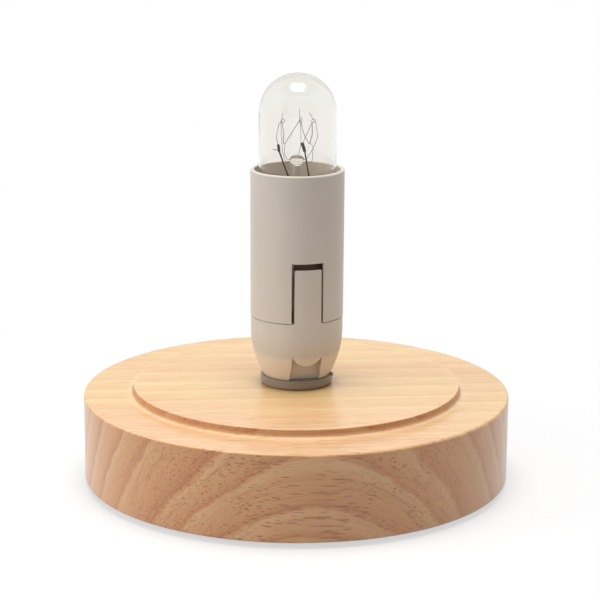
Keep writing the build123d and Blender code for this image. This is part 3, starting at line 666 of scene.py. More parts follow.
def pore_mask(shader, place, rings):
    """Open vessels: dashes along the grain that show as dots on end grain."""
    mask = 0.0
    for along, across, thick, kept in VESSELS:
        spot = shader.scaled(place, (along, across, across))
        cell = shader.add("TexVoronoi", spot, named={"Scale": 1.0})
        chance = shader.add("SeparateColor", cell["Color"])
        dash = shader.span(cell["Distance"], thick, thick - 0.1)
        dash = shader.times(dash, shader.math("LESS_THAN", chance[0], kept))
        dash = shader.times(dash, shader.span(chance[1], 0.0, 1.0, 0.55, 1.0))
        mask = shader.math("MAXIMUM", mask, dash)
    crowd = shader.math("SUBTRACT", shader.grain(place, *CROWDS), shader.times(rings, 0.2))
    return shader.times(mask, shader.span(crowd, 0.15, 0.35))


def wood_finish(wood):
    """Clear-lacquered pale wood: growth rings, long streaks and open pores along the grain."""
    shader = Shader("lacquered_wood")
    here = shader.place()
    spot = shader.parts(here)
    reach = shader.reach(here)
    rim_level = wood_high.z - wood.disc_rise / MM
    rim = shader.span(reach, *(wood_high.x - depth for depth in RIM_SIDE))
    crest = shader.span(spot["Z"], *(rim_level - depth for depth in RIM_CREST))
    flat = shader.slide(rim, shader.span(shader.upright(), 0.3, 0.9), crest)
    front = shader.times(flat, shader.span(spot["Y"], *FRONT_SPAN))
    end_grain_and_shade = shader.math("SUBTRACT", 1.0, flat)
    # Painted sheen: grain, pores and end grain pale towards the left and right of the base
    sheen_free_middle = shader.span(shader.math("ABSOLUTE", spot["X"]), *SHEEN_FREE_SPAN)

    place = shader.turned(here, "Z_AXIS", -wood.grain_turn)
    place = shader.turned(place, "X_AXIS", -wood.ring_tilt)
    rings = ring_pattern(shader, place, wood.ring_waver / MM)
    early = shader.times(shader.span(rings, 1.0, 0.0), shader.slide(flat, 1.0, 0.38))
    late = shader.times(shader.span(rings, 0.2, 0.0), shader.slide(flat, 0.34, 0.02))
    patches = shader.span(shader.grain(place, *PATCHES), 0.45, 0.7, 0.0, 0.35)
    base = shader.layered(
        wood.pale,
        (shader.times(end_grain_and_shade, 0.4), wood.pink),
        (early, wood.warm),
        (late, wood.pore),
        (patches, wood.pink),
        # Painted reflection: the front of the top is painted lighter and pinker
        (shader.times(front, 0.6), wood.front_reflection_tint),
    )
    for noise, start, full, side, top, paled_by_sheen, tone in GRAIN_LAYERS:
        weight = shader.slide(flat, shader.times(sheen_free_middle, side) if paled_by_sheen else side, top)
        weight = shader.times(shader.span(shader.grain(place, *noise), start, full), weight)
        base = shader.blend(weight, base, getattr(wood, tone))

    fibres = shader.grain(place, *FIBRES)
    pores = pore_mask(shader, place, rings)
    seen = shader.slide(flat, shader.times(sheen_free_middle, 0.65), 0.14)
    seen = shader.math("ADD", seen, shader.times(front, 0.3))
    beyond = shader.math("SUBTRACT", reach, wood.disc_radius / MM)
    at_back = shader.span(spot["Y"], *BACK_SPAN)
    hollow = shader.band(beyond, *SHADED_GROOVE_BAND)
    base = shader.layered(
        base,
        (shader.span(fibres, 0.45, 0.8, 0.0, 0.3), wood.warm),
        (shader.times(pores, seen), wood.pore),
        # Painted highlight: a light line on the back of the disc's edge
        (shader.times(shader.band(beyond, *EDGE_HIGHLIGHT_BAND), at_back), wood.edge),
        # Painted shade darkens the groove at the foot of the raised disc
        (shader.times(hollow, 0.6), wood.groove),
        # Painted highlight: a faint light band beyond the groove
        (shader.times(shader.band(beyond, *FOOT_HIGHLIGHT_BAND), 0.12), wood.edge),
    )
    # Upright sides darkened: partly end grain, partly painted shade, lighter towards the left and
    # right as a painted sheen
    base = shader.blend(end_grain_and_shade, base, shader.blend(sheen_free_middle, *END_GRAIN_AND_SHADE_TONES), "MULTIPLY")
    grain = shader.relief(fibres, 0.012, 0.3)
    dull = shader.span(reach, *(wood_high.x - depth for depth in DULL_SIDE))
    dull = shader.times(dull, flat)
    streaks = shader.grain(place, *STREAKS)
    return shader.finish(
        Base_Color=base,
        Normal=shader.relief(shader.math("SUBTRACT", 1.0, pores), 0.02, 0.1, Normal=grain),
        Roughness=shader.span(streaks, 0.3, 0.8, 0.42, 0.52),
        Coat_Weight=shader.slide(shader.math("MAXIMUM", dull, hollow), wood.coat, 0.1),
        Coat_Roughness=0.2,
        Coat_IOR=1.5,
    )


def plastic_finish(name, tone, roughness, bore=None):
    """Moulded plastic with a fine spark-eroded texture, painted lighter and warmer inside a bore as
    painted light.
    """
    shader = Shader(name)
    place = shader.place()
    grain = shader.noise(place, 9.0, 2.0, 0.6)
    flow = shader.grain(place, (0.12, 0.12, 0.05))
    base = shader.layered(
        tone,
        (shader.span(flow, 0.3, 0.7), shade(tone, 0.95)),
        (shader.span(grain, 0.4, 0.8, 0.0, 0.3), shade(tone, 0.85)),
    )
    if bore is not None:
        # Painted light: the inside of the bore is painted lighter and warmer
        inside = shader.span(shader.reach(place), bore + 0.3, bore + 0.1)
        base = shader.blend(inside, base, BORE_LIGHT_TONE, "MULTIPLY")
    return shader.finish(
        Base_Color=base,
        Roughness=shader.span(grain, 0.3, 0.7, roughness - 0.04, roughness + 0.05),
        Normal=shader.relief(grain, 0.008, 0.5),
    )


def metal_finish(name, tone, roughness=0.3):
    """Plated or drawn metal with fine scratches and dull spots."""
    shader = Shader(name)
    place = shader.place()
    scratches = shader.noise(place, 3.0, 3.0, 0.6)
    dull = shader.span(shader.noise(place, 0.6), 0.35, 0.75, 0.0, 0.5)
    return shader.finish(
        Base_Color=shader.blend(dull, tone, shade(tone, 0.72)),
        Metallic=1.0,
        Roughness=shader.span(scratches, 0.3, 0.7, roughness - 0.06, roughness + 0.08),
        Normal=shader.relief(scratches, 0.006, 0.5),
    )


def rubber_finish(name):
    """Black rubber with dust in its fine texture."""
    shader = Shader(name)
    place = shader.place()
    dust = shader.noise(place, 1.4, 3.0, 0.6)
    dusty = shader.span(dust, 0.45, 0.75, 0.0, 0.6)
    return shader.finish(
        Base_Color=shader.blend(dusty, tint(28, 28, 28), tint(58, 56, 53)),
        Roughness=shader.span(dust, 0.3, 0.8, 0.7, 0.85),
        Normal=shader.relief(shader.noise(place, 8.0), 0.01, 0.5),
    )


def cast_finish(name, tone, roughness, pits):
    """Cast glass or cement, with small pits. Their depth is in millimetres."""
    shader = Shader(name)
    spots = shader.noise(shader.place(), 2.5, 3.0, 0.6)
    return shader.finish(
        Base_Color=shader.blend(shader.span(spots, 0.4, 0.75), tone, shade(tone, 0.8)),
        Roughness=shader.span(spots, 0.3, 0.7, roughness, roughness + 0.1),
        Normal=shader.relief(spots, pits, 0.6),
    )


def glass_finish(name, tone, ripple):
    """Clear glass with the faint ripple of a drawn wall. Ripple is in millimetres."""
    shader = Shader(name)
    wave = shader.grain(shader.place(), (0.22, 0.22, 0.06), 1.0)
    shader.finish(
        Base_Color=(*tone, 1.0),
        Roughness=0.0,
        IOR=1.5,
        Transmission_Weight=1.0,
        Normal=shader.relief(wave, ripple, 0.15),
    )
    return shader.clear_of_shadow()


# Sizes of the holder that its packed box doesn't give, in millimetres
DOME_STRAIGHT = 4.0
BELLY_STEPS = 28
DOME_WALL = 1.7
DOME_FLOOR = 2.4
DOME_FOOT_RADIUS = 9.8
NIPPLE_RADIUS = 5.03
BOSS_RADIUS = 6.5
BOSS_HEIGHT = 9.0
POCKET_WIDTH = 8.7
POCKET_NEAR = -11.86
POCKET_FAR = -7.5
POCKET_HEIGHT = 8.85
POCKET_WALL = 1.0
LIP_RADIUS = 12.25
LIP_BORE_RADIUS = 11.15
LIP_HEIGHT = 3.0
LIP_ROOT = 1.5
BEAD_RADIUS = 0.35
BEAD_LEVEL = 1.6
BEAD_GAP = 0.05
BEAD_ARC = (-80.0, 80.0, 8)
ARM_THICKNESS = 1.2
ARM_CORNER = 0.6
ARM_LEAD = 0.9
HOOK_HEIGHT = 1.8
HOOK_REACH = 1.1
SHELL_BORE_RADIUS = 12.37
SHELL_FOOT_RADIUS = 13.45
SEAM_ROUNDING = 0.16
RIM_ROUNDING = 0.5
RING_RADIUS = 10.45
RING_BORE = 5.2
RING_FOOT_ROUNDING = 1.0
RING_HEAD_ROUNDING = 0.25
RING_SOFTNESS = 0.08
GATE_TURN = math.radians(80)
GATE_LOW = (-0.4, -0.35, -0.5)
GATE_HIGH = (0.4, 0.6, 0.45)
FOOT_LEVEL = dome_low.z - 0.3
SEAM_LEVEL = shell_low.z
DOME_RADIUS = dome_high.x
ARM_TOP = dome_high.z - 0.45
# How far a cutter reaches past what it cuts, and the least step between two faces
PAST = 1.0
STEP = 0.01


def belly_points(inset, bottom):
    """Outline of the dome's side from a level up to its straight top, inset by a wall."""
    belly_top = SEAM_LEVEL - DOME_STRAIGHT
    drop = DOME_RADIUS - DOME_FOOT_RADIUS
    height = belly_top - dome_low.z
    radius = (drop**2 + height**2) / (2 * drop)
    start = -math.degrees(math.asin((belly_top - bottom) / (radius - inset)))
    return arc((DOME_RADIUS - radius, belly_top), radius - inset, start, 0.0, BELLY_STEPS)


def ring_form(holder):
    """Spacer ring with a rounded foot and the mark of its moulding gate."""
    corners = [
        (RING_BORE, ring_low.z, 0),
        (RING_RADIUS, ring_low.z, RING_FOOT_ROUNDING),
        (RING_RADIUS, FOOT_LEVEL, RING_HEAD_ROUNDING),
        (RING_BORE, FOOT_LEVEL, 0),
    ]
    spot = Vector((0.0, -RING_RADIUS, FOOT_LEVEL))
    gate = box_mesh(spot + Vector(GATE_LOW), spot + Vector(GATE_HIGH))
    gate.transform(Matrix.Rotation(GATE_TURN, 4, "Z"))
    body = turned_mesh(rounded_outline(corners), holder.segments)
    return softened(shaped(body, ("UNION", gate)), RING_SOFTNESS)


def bead_points(radius):
    """Outline of the snap bead on the lip, or of its groove in the shell."""
    return arc((LIP_RADIUS, SEAM_LEVEL + BEAD_LEVEL), radius, *BEAD_ARC)


def latch_arms(holder):
    """Curved latch arms with rounded heads and a hook inside."""
    inner = DOME_RADIUS - ARM_THICKNESS
    root = SEAM_LEVEL - 2 * SEAM_ROUNDING
    section = [
        (inner, root - PAST),
        (DOME_RADIUS, root - PAST),
        (DOME_RADIUS, ARM_TOP),
        (inner - HOOK_REACH, ARM_TOP - ARM_LEAD),
        (inner - HOOK_REACH, ARM_TOP - HOOK_HEIGHT),
        (inner, ARM_TOP - HOOK_HEIGHT),
    ]
    half = holder.arm_width / MM / 2
    head = [
        (-half, root, 0),
        (half, root, 0),
        (half, ARM_TOP + STEP, ARM_CORNER),
        (-half, ARM_TOP + STEP, ARM_CORNER),
    ]
    slab = extruded_mesh(rounded_outline(head), -2 * DOME_RADIUS, -inner / 2)
    slab = front_and_back(slab, holder.latch_turn)
    return shaped(turned_mesh(section, holder.segments), ("INTERSECT", slab))


def dome_form(holder):
    """Lower part of the holder, hollow, with boss, pockets, lip and latch arms."""
    lip_top = SEAM_LEVEL + LIP_HEIGHT
    side_top = (DOME_RADIUS - SEAM_ROUNDING, SEAM_LEVEL - SEAM_ROUNDING)
    outline = [
        (NIPPLE_RADIUS, FOOT_LEVEL),
        *belly_points(0.0, FOOT_LEVEL),
        *arc(side_top, SEAM_ROUNDING, 0.0, 90.0, 4),
        (LIP_RADIUS, SEAM_LEVEL),
        *bead_points(BEAD_RADIUS),
        (LIP_RADIUS, lip_top),
        (NIPPLE_RADIUS, lip_top),
    ]
    floor = dome_low.z + DOME_FLOOR
    room = [
        (BOSS_RADIUS, floor),
        *belly_points(DOME_WALL, floor),
        (DOME_RADIUS - DOME_WALL, SEAM_LEVEL - LIP_ROOT),
        (LIP_BORE_RADIUS, SEAM_LEVEL - LIP_ROOT),
        (LIP_BORE_RADIUS, lip_top + PAST),
        (0.0, lip_top + PAST),
        (0.0, dome_low.z + BOSS_HEIGHT),
        (BOSS_RADIUS, dome_low.z + BOSS_HEIGHT),
    ]
    half = POCKET_WIDTH / 2
    pocket_top = dome_low.z + POCKET_HEIGHT
    below = dome_low.z - DOME_FLOOR
    wall = box_mesh(
        (-half - POCKET_WALL, POCKET_NEAR, below),
        (half + POCKET_WALL, -BOSS_RADIUS + POCKET_WALL / 2, pocket_top + POCKET_WALL),
    )
    pocket = box_mesh((-half, POCKET_NEAR, below), (half, POCKET_FAR, pocket_top))
    gap = holder.arm_width / MM / 2 + holder.window_gap / MM
    slot = box_mesh(
        (-gap, -2 * DOME_RADIUS, SEAM_LEVEL + STEP), (gap, -LIP_BORE_RADIUS / 2, lip_top + PAST)
    )
    wall, pocket, slot = (front_and_back(cut, holder.latch_turn) for cut in (wall, pocket, slot))
    body = shaped(
        turned_mesh(outline, holder.segments),
        ("DIFFERENCE", shaped(turned_mesh(room, holder.segments), ("DIFFERENCE", wall))),
        ("DIFFERENCE", slot),
        ("UNION", latch_arms(holder)),
        ("DIFFERENCE", pocket),
        solver="MANIFOLD",
    )
    return softened(body, holder.softness / MM, weld=True)


def shell_form(holder):
    """Upper sleeve of the holder, with a window round each latch arm."""
    foot = SEAM_LEVEL + holder.seam / MM
    corners = [
        (SHELL_BORE_RADIUS, foot, 0),
        (SHELL_FOOT_RADIUS, foot, SEAM_ROUNDING),
        (shell_high.x, shell_high.z, RIM_ROUNDING),
        (SHELL_BORE_RADIUS, shell_high.z, RIM_ROUNDING / 2),
    ]
    outline = rounded_outline(corners) + bead_points(BEAD_RADIUS + BEAD_GAP)[::-1]
    half = holder.arm_width / MM / 2
    near, far = holder.window_left / MM, holder.window_gap / MM
    head = dome_high.z + holder.window_head / MM
    window = box_mesh(
        (-half - near, -2 * DOME_RADIUS, 0.0), (half + far, -DOME_RADIUS / 3, head)
    )
    body = turned_mesh(outline, holder.segments)
    body.transform(Matrix.Rotation(holder.latch_turn, 4, "Z"))
    body = shaped(body, ("DIFFERENCE", front_and_back(window, holder.latch_turn)))
    return softened(body, holder.softness / MM)


# Sizes of the bulb that its packed boxes don't give, in millimetres, with levels above its tip
NECK_RADIUS = 5.5
SHOULDER_RISE = 0.6
SHOULDER_HEIGHT = 5.6
SHOULDER_SHARE = 0.995
ROUND_TOP_SHARE = 0.9999
GLASS_SEGMENTS = 288
GLASS_STEPS = 40
GLASS_CREASE = 60.0
FLARE_RADIUS = 4.85
STEM_RADIUS = 3.0
STEM_WALL = 0.6
STEM_SEGMENTS = 48
EXHAUST_RADIUS = 1.0
EXHAUST_WALL = 0.4
EXHAUST_SEGMENTS = 32
PRESS_BOTTOM = 20.0
PRESS_TOP = 23.6
PRESS_HALF = (3.3, 1.3)
ROD_RADIUS = 1.15
BUTTON_LEVEL = 32.05
BUTTON_HALF = (2.2, 1.4)
MOUNT_OFFSET = -0.2
MOUNT_LEAN = 5.0
ROUND = 2.0


def envelope_form(bulb):
    """Tubular glass with a round top, a shoulder and a neck inside the cap."""
    radius = glass_high.x
    low = cap_high.z + SHOULDER_RISE
    turn = 2 * math.atan((radius - NECK_RADIUS) / SHOULDER_HEIGHT)
    rounding = SHOULDER_SHARE * SHOULDER_HEIGHT / (2 * math.sin(turn))
    reach = SHOULDER_HEIGHT / 2 * math.tan(turn / 2) / math.sin(turn)
    corners = [
        (NECK_RADIUS, glass_low.z, 0),
        (NECK_RADIUS, low + reach, rounding),
        (radius, low + SHOULDER_HEIGHT - reach, rounding),
        (radius, glass_high.z, ROUND_TOP_SHARE * radius),
        (0, glass_high.z, 0),
        (0, glass_low.z, 0),
    ]
    outside = rounded_outline(corners, GLASS_STEPS)[:-1]
    wall = bulb.wall / MM
    inside = []
    for number, here in enumerate(outside):
        before = outside[max(number - 1, 0)]
        after = outside[min(number + 1, len(outside) - 1)]
        along = (after - before).normalized()
        inside.append(here + Vector((-along.y, along.x)) * wall)
    inside[0] = Vector((NECK_RADIUS - wall, glass_low.z))
    inside[-1] = Vector((0.0, glass_high.z - wall))
    return smoothed(welded(turned_mesh(outside + inside[::-1], GLASS_SEGMENTS)), GLASS_CREASE)


def stem_form():
    """Flare, press, rod and button of one glass, with the exhaust tube below."""
    flare = glass_low.z - tip_low.z
    bore = STEM_RADIUS - STEM_WALL
    mouth = FLARE_RADIUS - STEM_WALL
    # Level above the tip, half width, half depth and squareness, first inside and then outside
    rows = [
        (PRESS_BOTTOM - 0.6, 0.4, 0.2, ROUND),
        (PRESS_BOTTOM - 1.4, 2.0, 1.2, ROUND),
        (PRESS_BOTTOM - 2.4, bore, bore, ROUND),
        (flare + 3.4, bore, bore, ROUND),
        (flare + 1.6, 2.9, 2.9, ROUND),
        (flare, mouth, mouth, ROUND),
        (flare, FLARE_RADIUS, FLARE_RADIUS, ROUND),
        (flare + 0.5, 4.3, 4.3, ROUND),
        (flare + 1.2, 3.7, 3.7, ROUND),
        (flare + 2.1, 3.25, 3.25, ROUND),
        (flare + 3.4, STEM_RADIUS, STEM_RADIUS, ROUND),
        (PRESS_BOTTOM - 2.2, STEM_RADIUS, STEM_RADIUS, ROUND),
        (PRESS_BOTTOM - 1.2, 3.05, 2.6, 2.1),
        (PRESS_BOTTOM - 0.2, 3.2, 1.7, 2.6),
        (PRESS_BOTTOM + 0.5, *PRESS_HALF, 3.4),
        (PRESS_TOP - 0.7, *PRESS_HALF, 3.4),
        (PRESS_TOP - 0.2, 3.0, 1.25, 3.0),
        (PRESS_TOP + 0.15, 2.2, 1.35, 2.4),
        (PRESS_TOP + 0.6, 1.45, 1.3, ROUND),
        (PRESS_TOP + 1.2, ROD_RADIUS, ROD_RADIUS, ROUND),
        (BUTTON_LEVEL - 1.6, ROD_RADIUS, ROD_RADIUS, ROUND),
    ]
    half_width, half_height = BUTTON_HALF
    for degrees in range(-54, 90, 12):
        turn = math.radians(degrees)
        radius = half_width * math.cos(turn) ** 0.8
        rows.append((BUTTON_LEVEL + half_height * math.sin(turn), radius, radius, ROUND))
    rings = []
    for level, across, deep, squareness in rows:
        lean = MOUNT_OFFSET * min(max((level - PRESS_BOTTOM) / MOUNT_LEAN, 0.0), 1.0)
        centre = (lean, 0.0, tip_low.z + level)
        rings.append(squircle(centre, (across, 0, 0), (0, deep, 0), squareness, STEM_SEGMENTS))
    hole = EXHAUST_RADIUS - EXHAUST_WALL
    top = tip_low.z + PRESS_BOTTOM - 0.8
    tube = [(hole, stem_low.z), (EXHAUST_RADIUS, stem_low.z), (EXHAUST_RADIUS, top), (hole, top)]
    meshes = [lofted_mesh(rings), turned_mesh(tube, EXHAUST_SEGMENTS)]
    return smoothed(joined(meshes), GLASS_CREASE)


# Places inside the bulb: across, back and above its tip, in millimetres
CAP_LEADS = (
    [(0, 0, tip_high.z - tip_low.z), (0, 0, 6.8), (-1.7, 0, 9.4), (-1.7, 0, 24.0)],
    [(5.72, 0, 9.6), (4.0, 0, 10.2), (1.7, 0, 12.4), (1.7, 0, 24.0)],
)
SEEN_LEADS = (
    [(-1.7, 0.0, 24.8), (-2.2, -0.3, 26.2), (-2.72, -0.6, 27.74), (-5.32, -0.8, 34.85)],
    [(1.7, 0.0, 24.8), (2.9, -0.2, 25.7), (3.45, -0.3, 26.6), (2.01, 1.0, 34.58)],
)
# Each crimp: its ends, width and thickness
CRIMPS = (
    ([(-5.22, -0.8, 34.4), (-5.55, -0.8, 36.66)], 0.8, 0.6),
    ([(2.11, 0.92, 34.2), (1.25, 1.2, 36.85)], 0.95, 0.6),
)
LEFT_PIN = [(-5.32, -0.8, 35.0), (-6.2, -0.8, 35.05), (-7.09, -0.8, 35.15)]
FILAMENT = [
    (-5.5, -0.8, 36.3),
    (-6.13, -0.5, 38.59),
    (-5.34, 1.0, 42.3),
    (-4.6, 1.25, 42.8),
    (-3.93, 2.0, 39.03),
    (-4.19, 3.0, 36.86),
    (-3.84, 3.5, 35.85),
    (0.7, 5.0, 43.05),
    (1.2, 4.8, 40.59),
    (2.08, 4.2, 38.03),
    (3.41, 3.5, 35.98),
    (4.18, 2.0, 39.07),
    (4.03, 0.65, 42.8),
    (2.07, 1.2, 38.18),
    (1.4, 1.15, 36.4),
]
LEFT_SUPPORT = [(-3.4, 0.6, 31.2), (-4.31, 0.9, 34.1), (-4.67, 0.95, 39.1), (-4.8, 0.95, 42.2)]
MIDDLE_SUPPORT = [(0.3, 0.9, 33.4), (0.95, 3.2, 36.4), (0.9, 4.55, 40.0), (0.6, 4.7, 41.9)]
RIGHT_SUPPORT = [(2.5, 0.5, 32.05), (4.51, 0.6, 35.5), (5.75, 0.65, 38.64), (5.2, 0.55, 42.0)]
LOW_SUPPORTS = [
    [(-2.9, 0.4, 32.0), (-3.68, 2.0, 33.06), (-3.83, 3.1, 34.3), (-3.6, 3.75, 36.2)],
    [(2.6, 0.8, 31.2), (4.24, 2.0, 31.2), (4.53, 3.4, 35.48), (3.5, 3.8, 36.25)],
]
# Curls of three supports: centre, half width, half height, start angle and way, and then the end
LEFT_CURL = ((-4.3, 0.95, 43.1), 0.58, 0.6, 180, -1), (-4.3, 1.1, 45.51)
MIDDLE_CURL = ((0.8, 4.7, 42.7), 0.4, 0.85, 180, -1), (0.45, 4.9, 46.02)
RIGHT_CURL = ((4.45, 0.5, 43.2), 0.56, 0.58, 0, 1), (3.24, 0.45, 45.64)
CURL_STEPS = 8
CURL_BACK = 0.05
# Sections of a crimp: share of its run, of its width and of its thickness
CRIMP_SECTIONS = (
    (0.0, 0.55, 0.7),
    (0.08, 0.9, 0.95),
    (0.2, 1.0, 1.0),
    (0.42, 0.94, 0.86),
    (0.5, 1.02, 1.0),
    (0.78, 1.0, 1.0),
    (0.92, 0.95, 1.05),
    (1.0, 0.6, 0.7),
)
CRIMP_SQUARENESS = 3.4
CRIMP_POINTS = 20
PIN_WIRE = 0.2
COIL_PER_TURN = 9
# Reach of the bends and length of the steps along a wire
LEAD_BEND, LEAD_STEP = 0.8, 0.25
COIL_BEND = 0.45
HOOK_BEND, HOOK_STEP = 0.6, 0.12
# How far towards its first knot a support leaves the button
HOOK_ROOT = 0.4


def curl(centre, across, tall, start, way):
    """One turn of wire that faces the front, stepping back as it turns."""
    x, y, z = centre
    points = []
    for step in range(CURL_STEPS):
        turn = math.radians(start + way * 360 / CURL_STEPS * step)
        spot = (x + across * math.cos(turn), y + CURL_BACK * step, z + tall * math.sin(turn))
        points.append(spot)
    return points


def raised(points):
    """Places above the bulb's tip, as places in the lamp."""
    return [Vector(point) + Vector((0, 0, tip_low.z)) for point in points]


def crimp_mesh(ends, width, thickness):
    """End of a lead wire, hammered flat and folded over the filament."""
    foot, head = raised(ends)
    along = (head - foot).normalized()
    deep = Vector((0.0, 1.0, 0.0))
    deep = (deep - along * deep.dot(along)).normalized()
    side = along.cross(deep) * width / 2
    deep = deep * thickness / 2
    rings = []
    for way, wide, thick in CRIMP_SECTIONS:
        centre = foot.lerp(head, way)
        rings.append(squircle(centre, side * wide, deep * thick, CRIMP_SQUARENESS, CRIMP_POINTS))
    return smoothed(lofted_mesh(rings))


def leads_form(bulb):
    """Lead wires up from the cap, through the press, each with its crimp."""
    routes = []
    for hidden, seen in zip(map(raised, CAP_LEADS), map(raised, SEEN_LEADS)):
        routes.append(hidden[:-1] + bent_route([hidden[-1]] + seen, LEAD_BEND, LEAD_STEP))
    return joined(
        [
            wire_mesh(routes, bulb.lead_wire / MM, 3),
            wire_mesh([raised(LEFT_PIN)], PIN_WIRE),
            *(crimp_mesh(*crimp) for crimp in CRIMPS),
        ]
    )


def filament_form(bulb):
    """Fine coil from one crimp to the other, over its supports."""
    pitch = bulb.coil_pitch / MM
    radius = (bulb.coil - bulb.coil_wire) / MM / 2
    route = bent_route(raised(FILAMENT), COIL_BEND, pitch / COIL_PER_TURN)
    return wire_mesh([coiled_route(route, radius, COIL_PER_TURN)], bulb.coil_wire / MM, 0)


def hooks_form(bulb):
    """Hair-thin supports from the button, three of them with a curl round the filament."""
    curled = zip(
        (LEFT_SUPPORT, MIDDLE_SUPPORT, RIGHT_SUPPORT), (LEFT_CURL, MIDDLE_CURL, RIGHT_CURL)
    )
    supports = [[*knots, *curl(*turn), end] for knots, (turn, end) in curled]
    routes = []
    for points in supports + LOW_SUPPORTS:
        knots = raised([(MOUNT_OFFSET, 0.0, BUTTON_LEVEL), *points])
        knots[0] = knots[0].lerp(knots[1], HOOK_ROOT)
        routes.append(bent_route(knots, HOOK_BEND, HOOK_STEP))
    return wire_mesh(routes, bulb.hook_wire / MM)


class LAMP_OT_wood_base(bpy.types.Operator):
    """Give the turned base its lacquered wood."""

    bl_idname = "lamp.wood_base"
    bl_label = "Wooden base"

    def execute(self, context):
        dress("wood_base", wood_finish(context.scene.lamp_wood))
        return {"FINISHED"}


class LAMP_OT_holder(bpy.types.Operator):
    """Build the lampholder with its latches and its spacer ring, and dress its insert."""

    bl_idname = "lamp.holder"
    bl_label = "Lampholder"

    def execute(self, context):
        holder = context.scene.lamp_holder
        plastic = plastic_finish("holder_plastic", holder.plastic, 0.37, SHELL_BORE_RADIUS)
        dome = dome_form(holder)
        show("dome_with_latches", dome, "holder_dome", "lamp", plastic)
        shell = shell_form(holder)
        show("holder_sleeve", shell, "holder_shell", "lamp", plastic)
        dress("terminal_insert", plastic_finish("insert_plastic", holder.insert, 0.5))
        spacer = plastic_finish("spacer_plastic", holder.spacer, 0.28)
        show("spacer_ring", ring_form(holder), "seat_ring", "lamp", spacer)
        return {"FINISHED"}


class LAMP_OT_bulb(bpy.types.Operator):
    """Build the bulb's glass, mount, wires and coil, and dress its cap."""

    bl_idname = "lamp.bulb"
    bl_label = "Bulb"

    def execute(self, context):
        bulb = context.scene.lamp_bulb
        clear = glass_finish("clear_glass", bulb.glass, 0.01)
        mount = glass_finish("stem_glass", tint(250, 248, 240), 0.08)
        lead = metal_finish("lead_wire", bulb.lead, 0.4)
        thin = metal_finish("thin_wire", bulb.thin_wire, 0.35)
        show("bulb_glass", envelope_form(bulb), "glass_envelope", "bulb", clear)
        show("bulb_mount", stem_form(), "glass_stem", "bulb", mount)
        show("lead_wire_pair", leads_form(bulb), "lead_wires", "bulb", lead)
        show("filament_coil", filament_form(bulb), "filament", "bulb", thin)
        show("filament_hooks", hooks_form(bulb), "filament_supports", "bulb", thin)
        dress("bulb_cap", metal_finish("cap_metal", tint(205, 203, 198), 0.25))
        dress("tip_contact", metal_finish("tip_solder", tint(170, 170, 168), 0.4))
        dress("cap_insulator", cast_finish("black_glass", tint(22, 20, 24), 0.08, 0.01))
        dress("cap_cement", cast_finish("cap_cement", tint(218, 210, 192), 0.8, 0.05))
        return {"FINISHED"}


STEEL_NODES = (
    "cover_screws", "threaded_nipple", "flat_washer", "lock_washer", "hex_nut", "terminal_screws"
)
BRASS_NODES = ("shell_terminal", "contact_terminal", "insert_rivets")


class LAMP_OT_fittings(bpy.types.Operator):
    """Give the hidden fittings their finishes."""

    bl_idname = "lamp.fittings"
    bl_label = "Fittings"

    def execute(self, context):
        dress("rubber_feet", rubber_finish("foot_rubber"))
        dress("cover_plate", plastic_finish("cover_plastic", tint(58, 54, 50), 0.55))
        dress("inlet_bush", plastic_finish("bush_plastic", tint(44, 42, 40), 0.5))
        dress("screw_shell", metal_finish("socket_brass", tint(208, 196, 160), 0.28))
        dress("contact_tongue", metal_finish("leaf_bronze", tint(206, 158, 106)))
        zinc = metal_finish("zinc_steel", tint(190, 190, 186), 0.34)
        brass = metal_finish("bare_brass", tint(212, 176, 108))
        for nodes, metal in ((STEEL_NODES, zinc), (BRASS_NODES, brass)):
            for node in nodes:
                dress(node, metal)
        return {"FINISHED"}


# Softboxes, in metres: side length, places and aims
SOFTBOX_SIZE = 0.7
ABOVE = ((0.0, -0.04, 1.05), (0.0, -0.04, 0.0))
ASIDE = ((-1.05, -0.25, 0.35), (0.0, 0.0, 0.05))
# Floor: half its side in metres, and spans about the lamp in millimetres
FLOOR_HALF = 3.0
SHADOW_SPAN = (80.0, 200.0)
BESIDE_SPAN = (150.0, 300.0)
NOT_BEHIND_SPAN = (300.0, 80.0)
AHEAD_SPAN = (-150.0, -300.0)
THROUGH_GLASS = 0.3


class LAMP_OT_studio(bpy.types.Operator):
    """Set up the floor, the light and the camera."""

    bl_idname = "lamp.studio"
    bl_label = "Studio"

    def execute(self, context):
        studio = context.scene.lamp_studio
        add_camera(context, studio)
        add_floor(studio)
        add_world(context, studio)
        top = add_softbox("top_softbox", *ABOVE, studio.top_light)
        top.visible_glossy = False
        gleam = add_softbox("top_gleam", *ABOVE, studio.top_light * studio.gleam, 0.12)
        gleam.visible_diffuse = False
        side = add_softbox("side_softbox", *ASIDE, studio.side_light)
        side.visible_glossy = False
        side.visible_transmission = False
        context.scene.view_settings.view_transform = "Standard"
        return {"FINISHED"}


def add_camera(context, studio):
    camera = placed("camera", bpy.data.cameras.new("camera"))
    camera.data.lens = studio.lens
    camera.data.sensor_width = 36.0
    aim = Vector((studio.aim_side, 0.0, studio.aim_height))
    away = Vector((0.0, -math.cos(studio.elevation), math.sin(studio.elevation)))
    camera.location = aim + away * studio.distance
    turn = away.to_track_quat("Z", "Y").to_matrix()
    camera.rotation_euler = (turn @ Matrix.Rotation(studio.roll, 3, "Z")).to_euler()
    context.scene.camera = camera


def seen_directly(graph):
    """1 for rays from the camera, from gloss and through glass, and 0 for light on surfaces."""
    path = graph.add("LightPath")
    seen = graph.math("MAXIMUM", path["Is Camera Ray"], path["Is Glossy Ray"])
    seen = graph.math("MAXIMUM", seen, path["Is Transmission Ray"])
    return graph.times(seen, graph.math("LESS_THAN", path["Diffuse Depth"], 0.5))


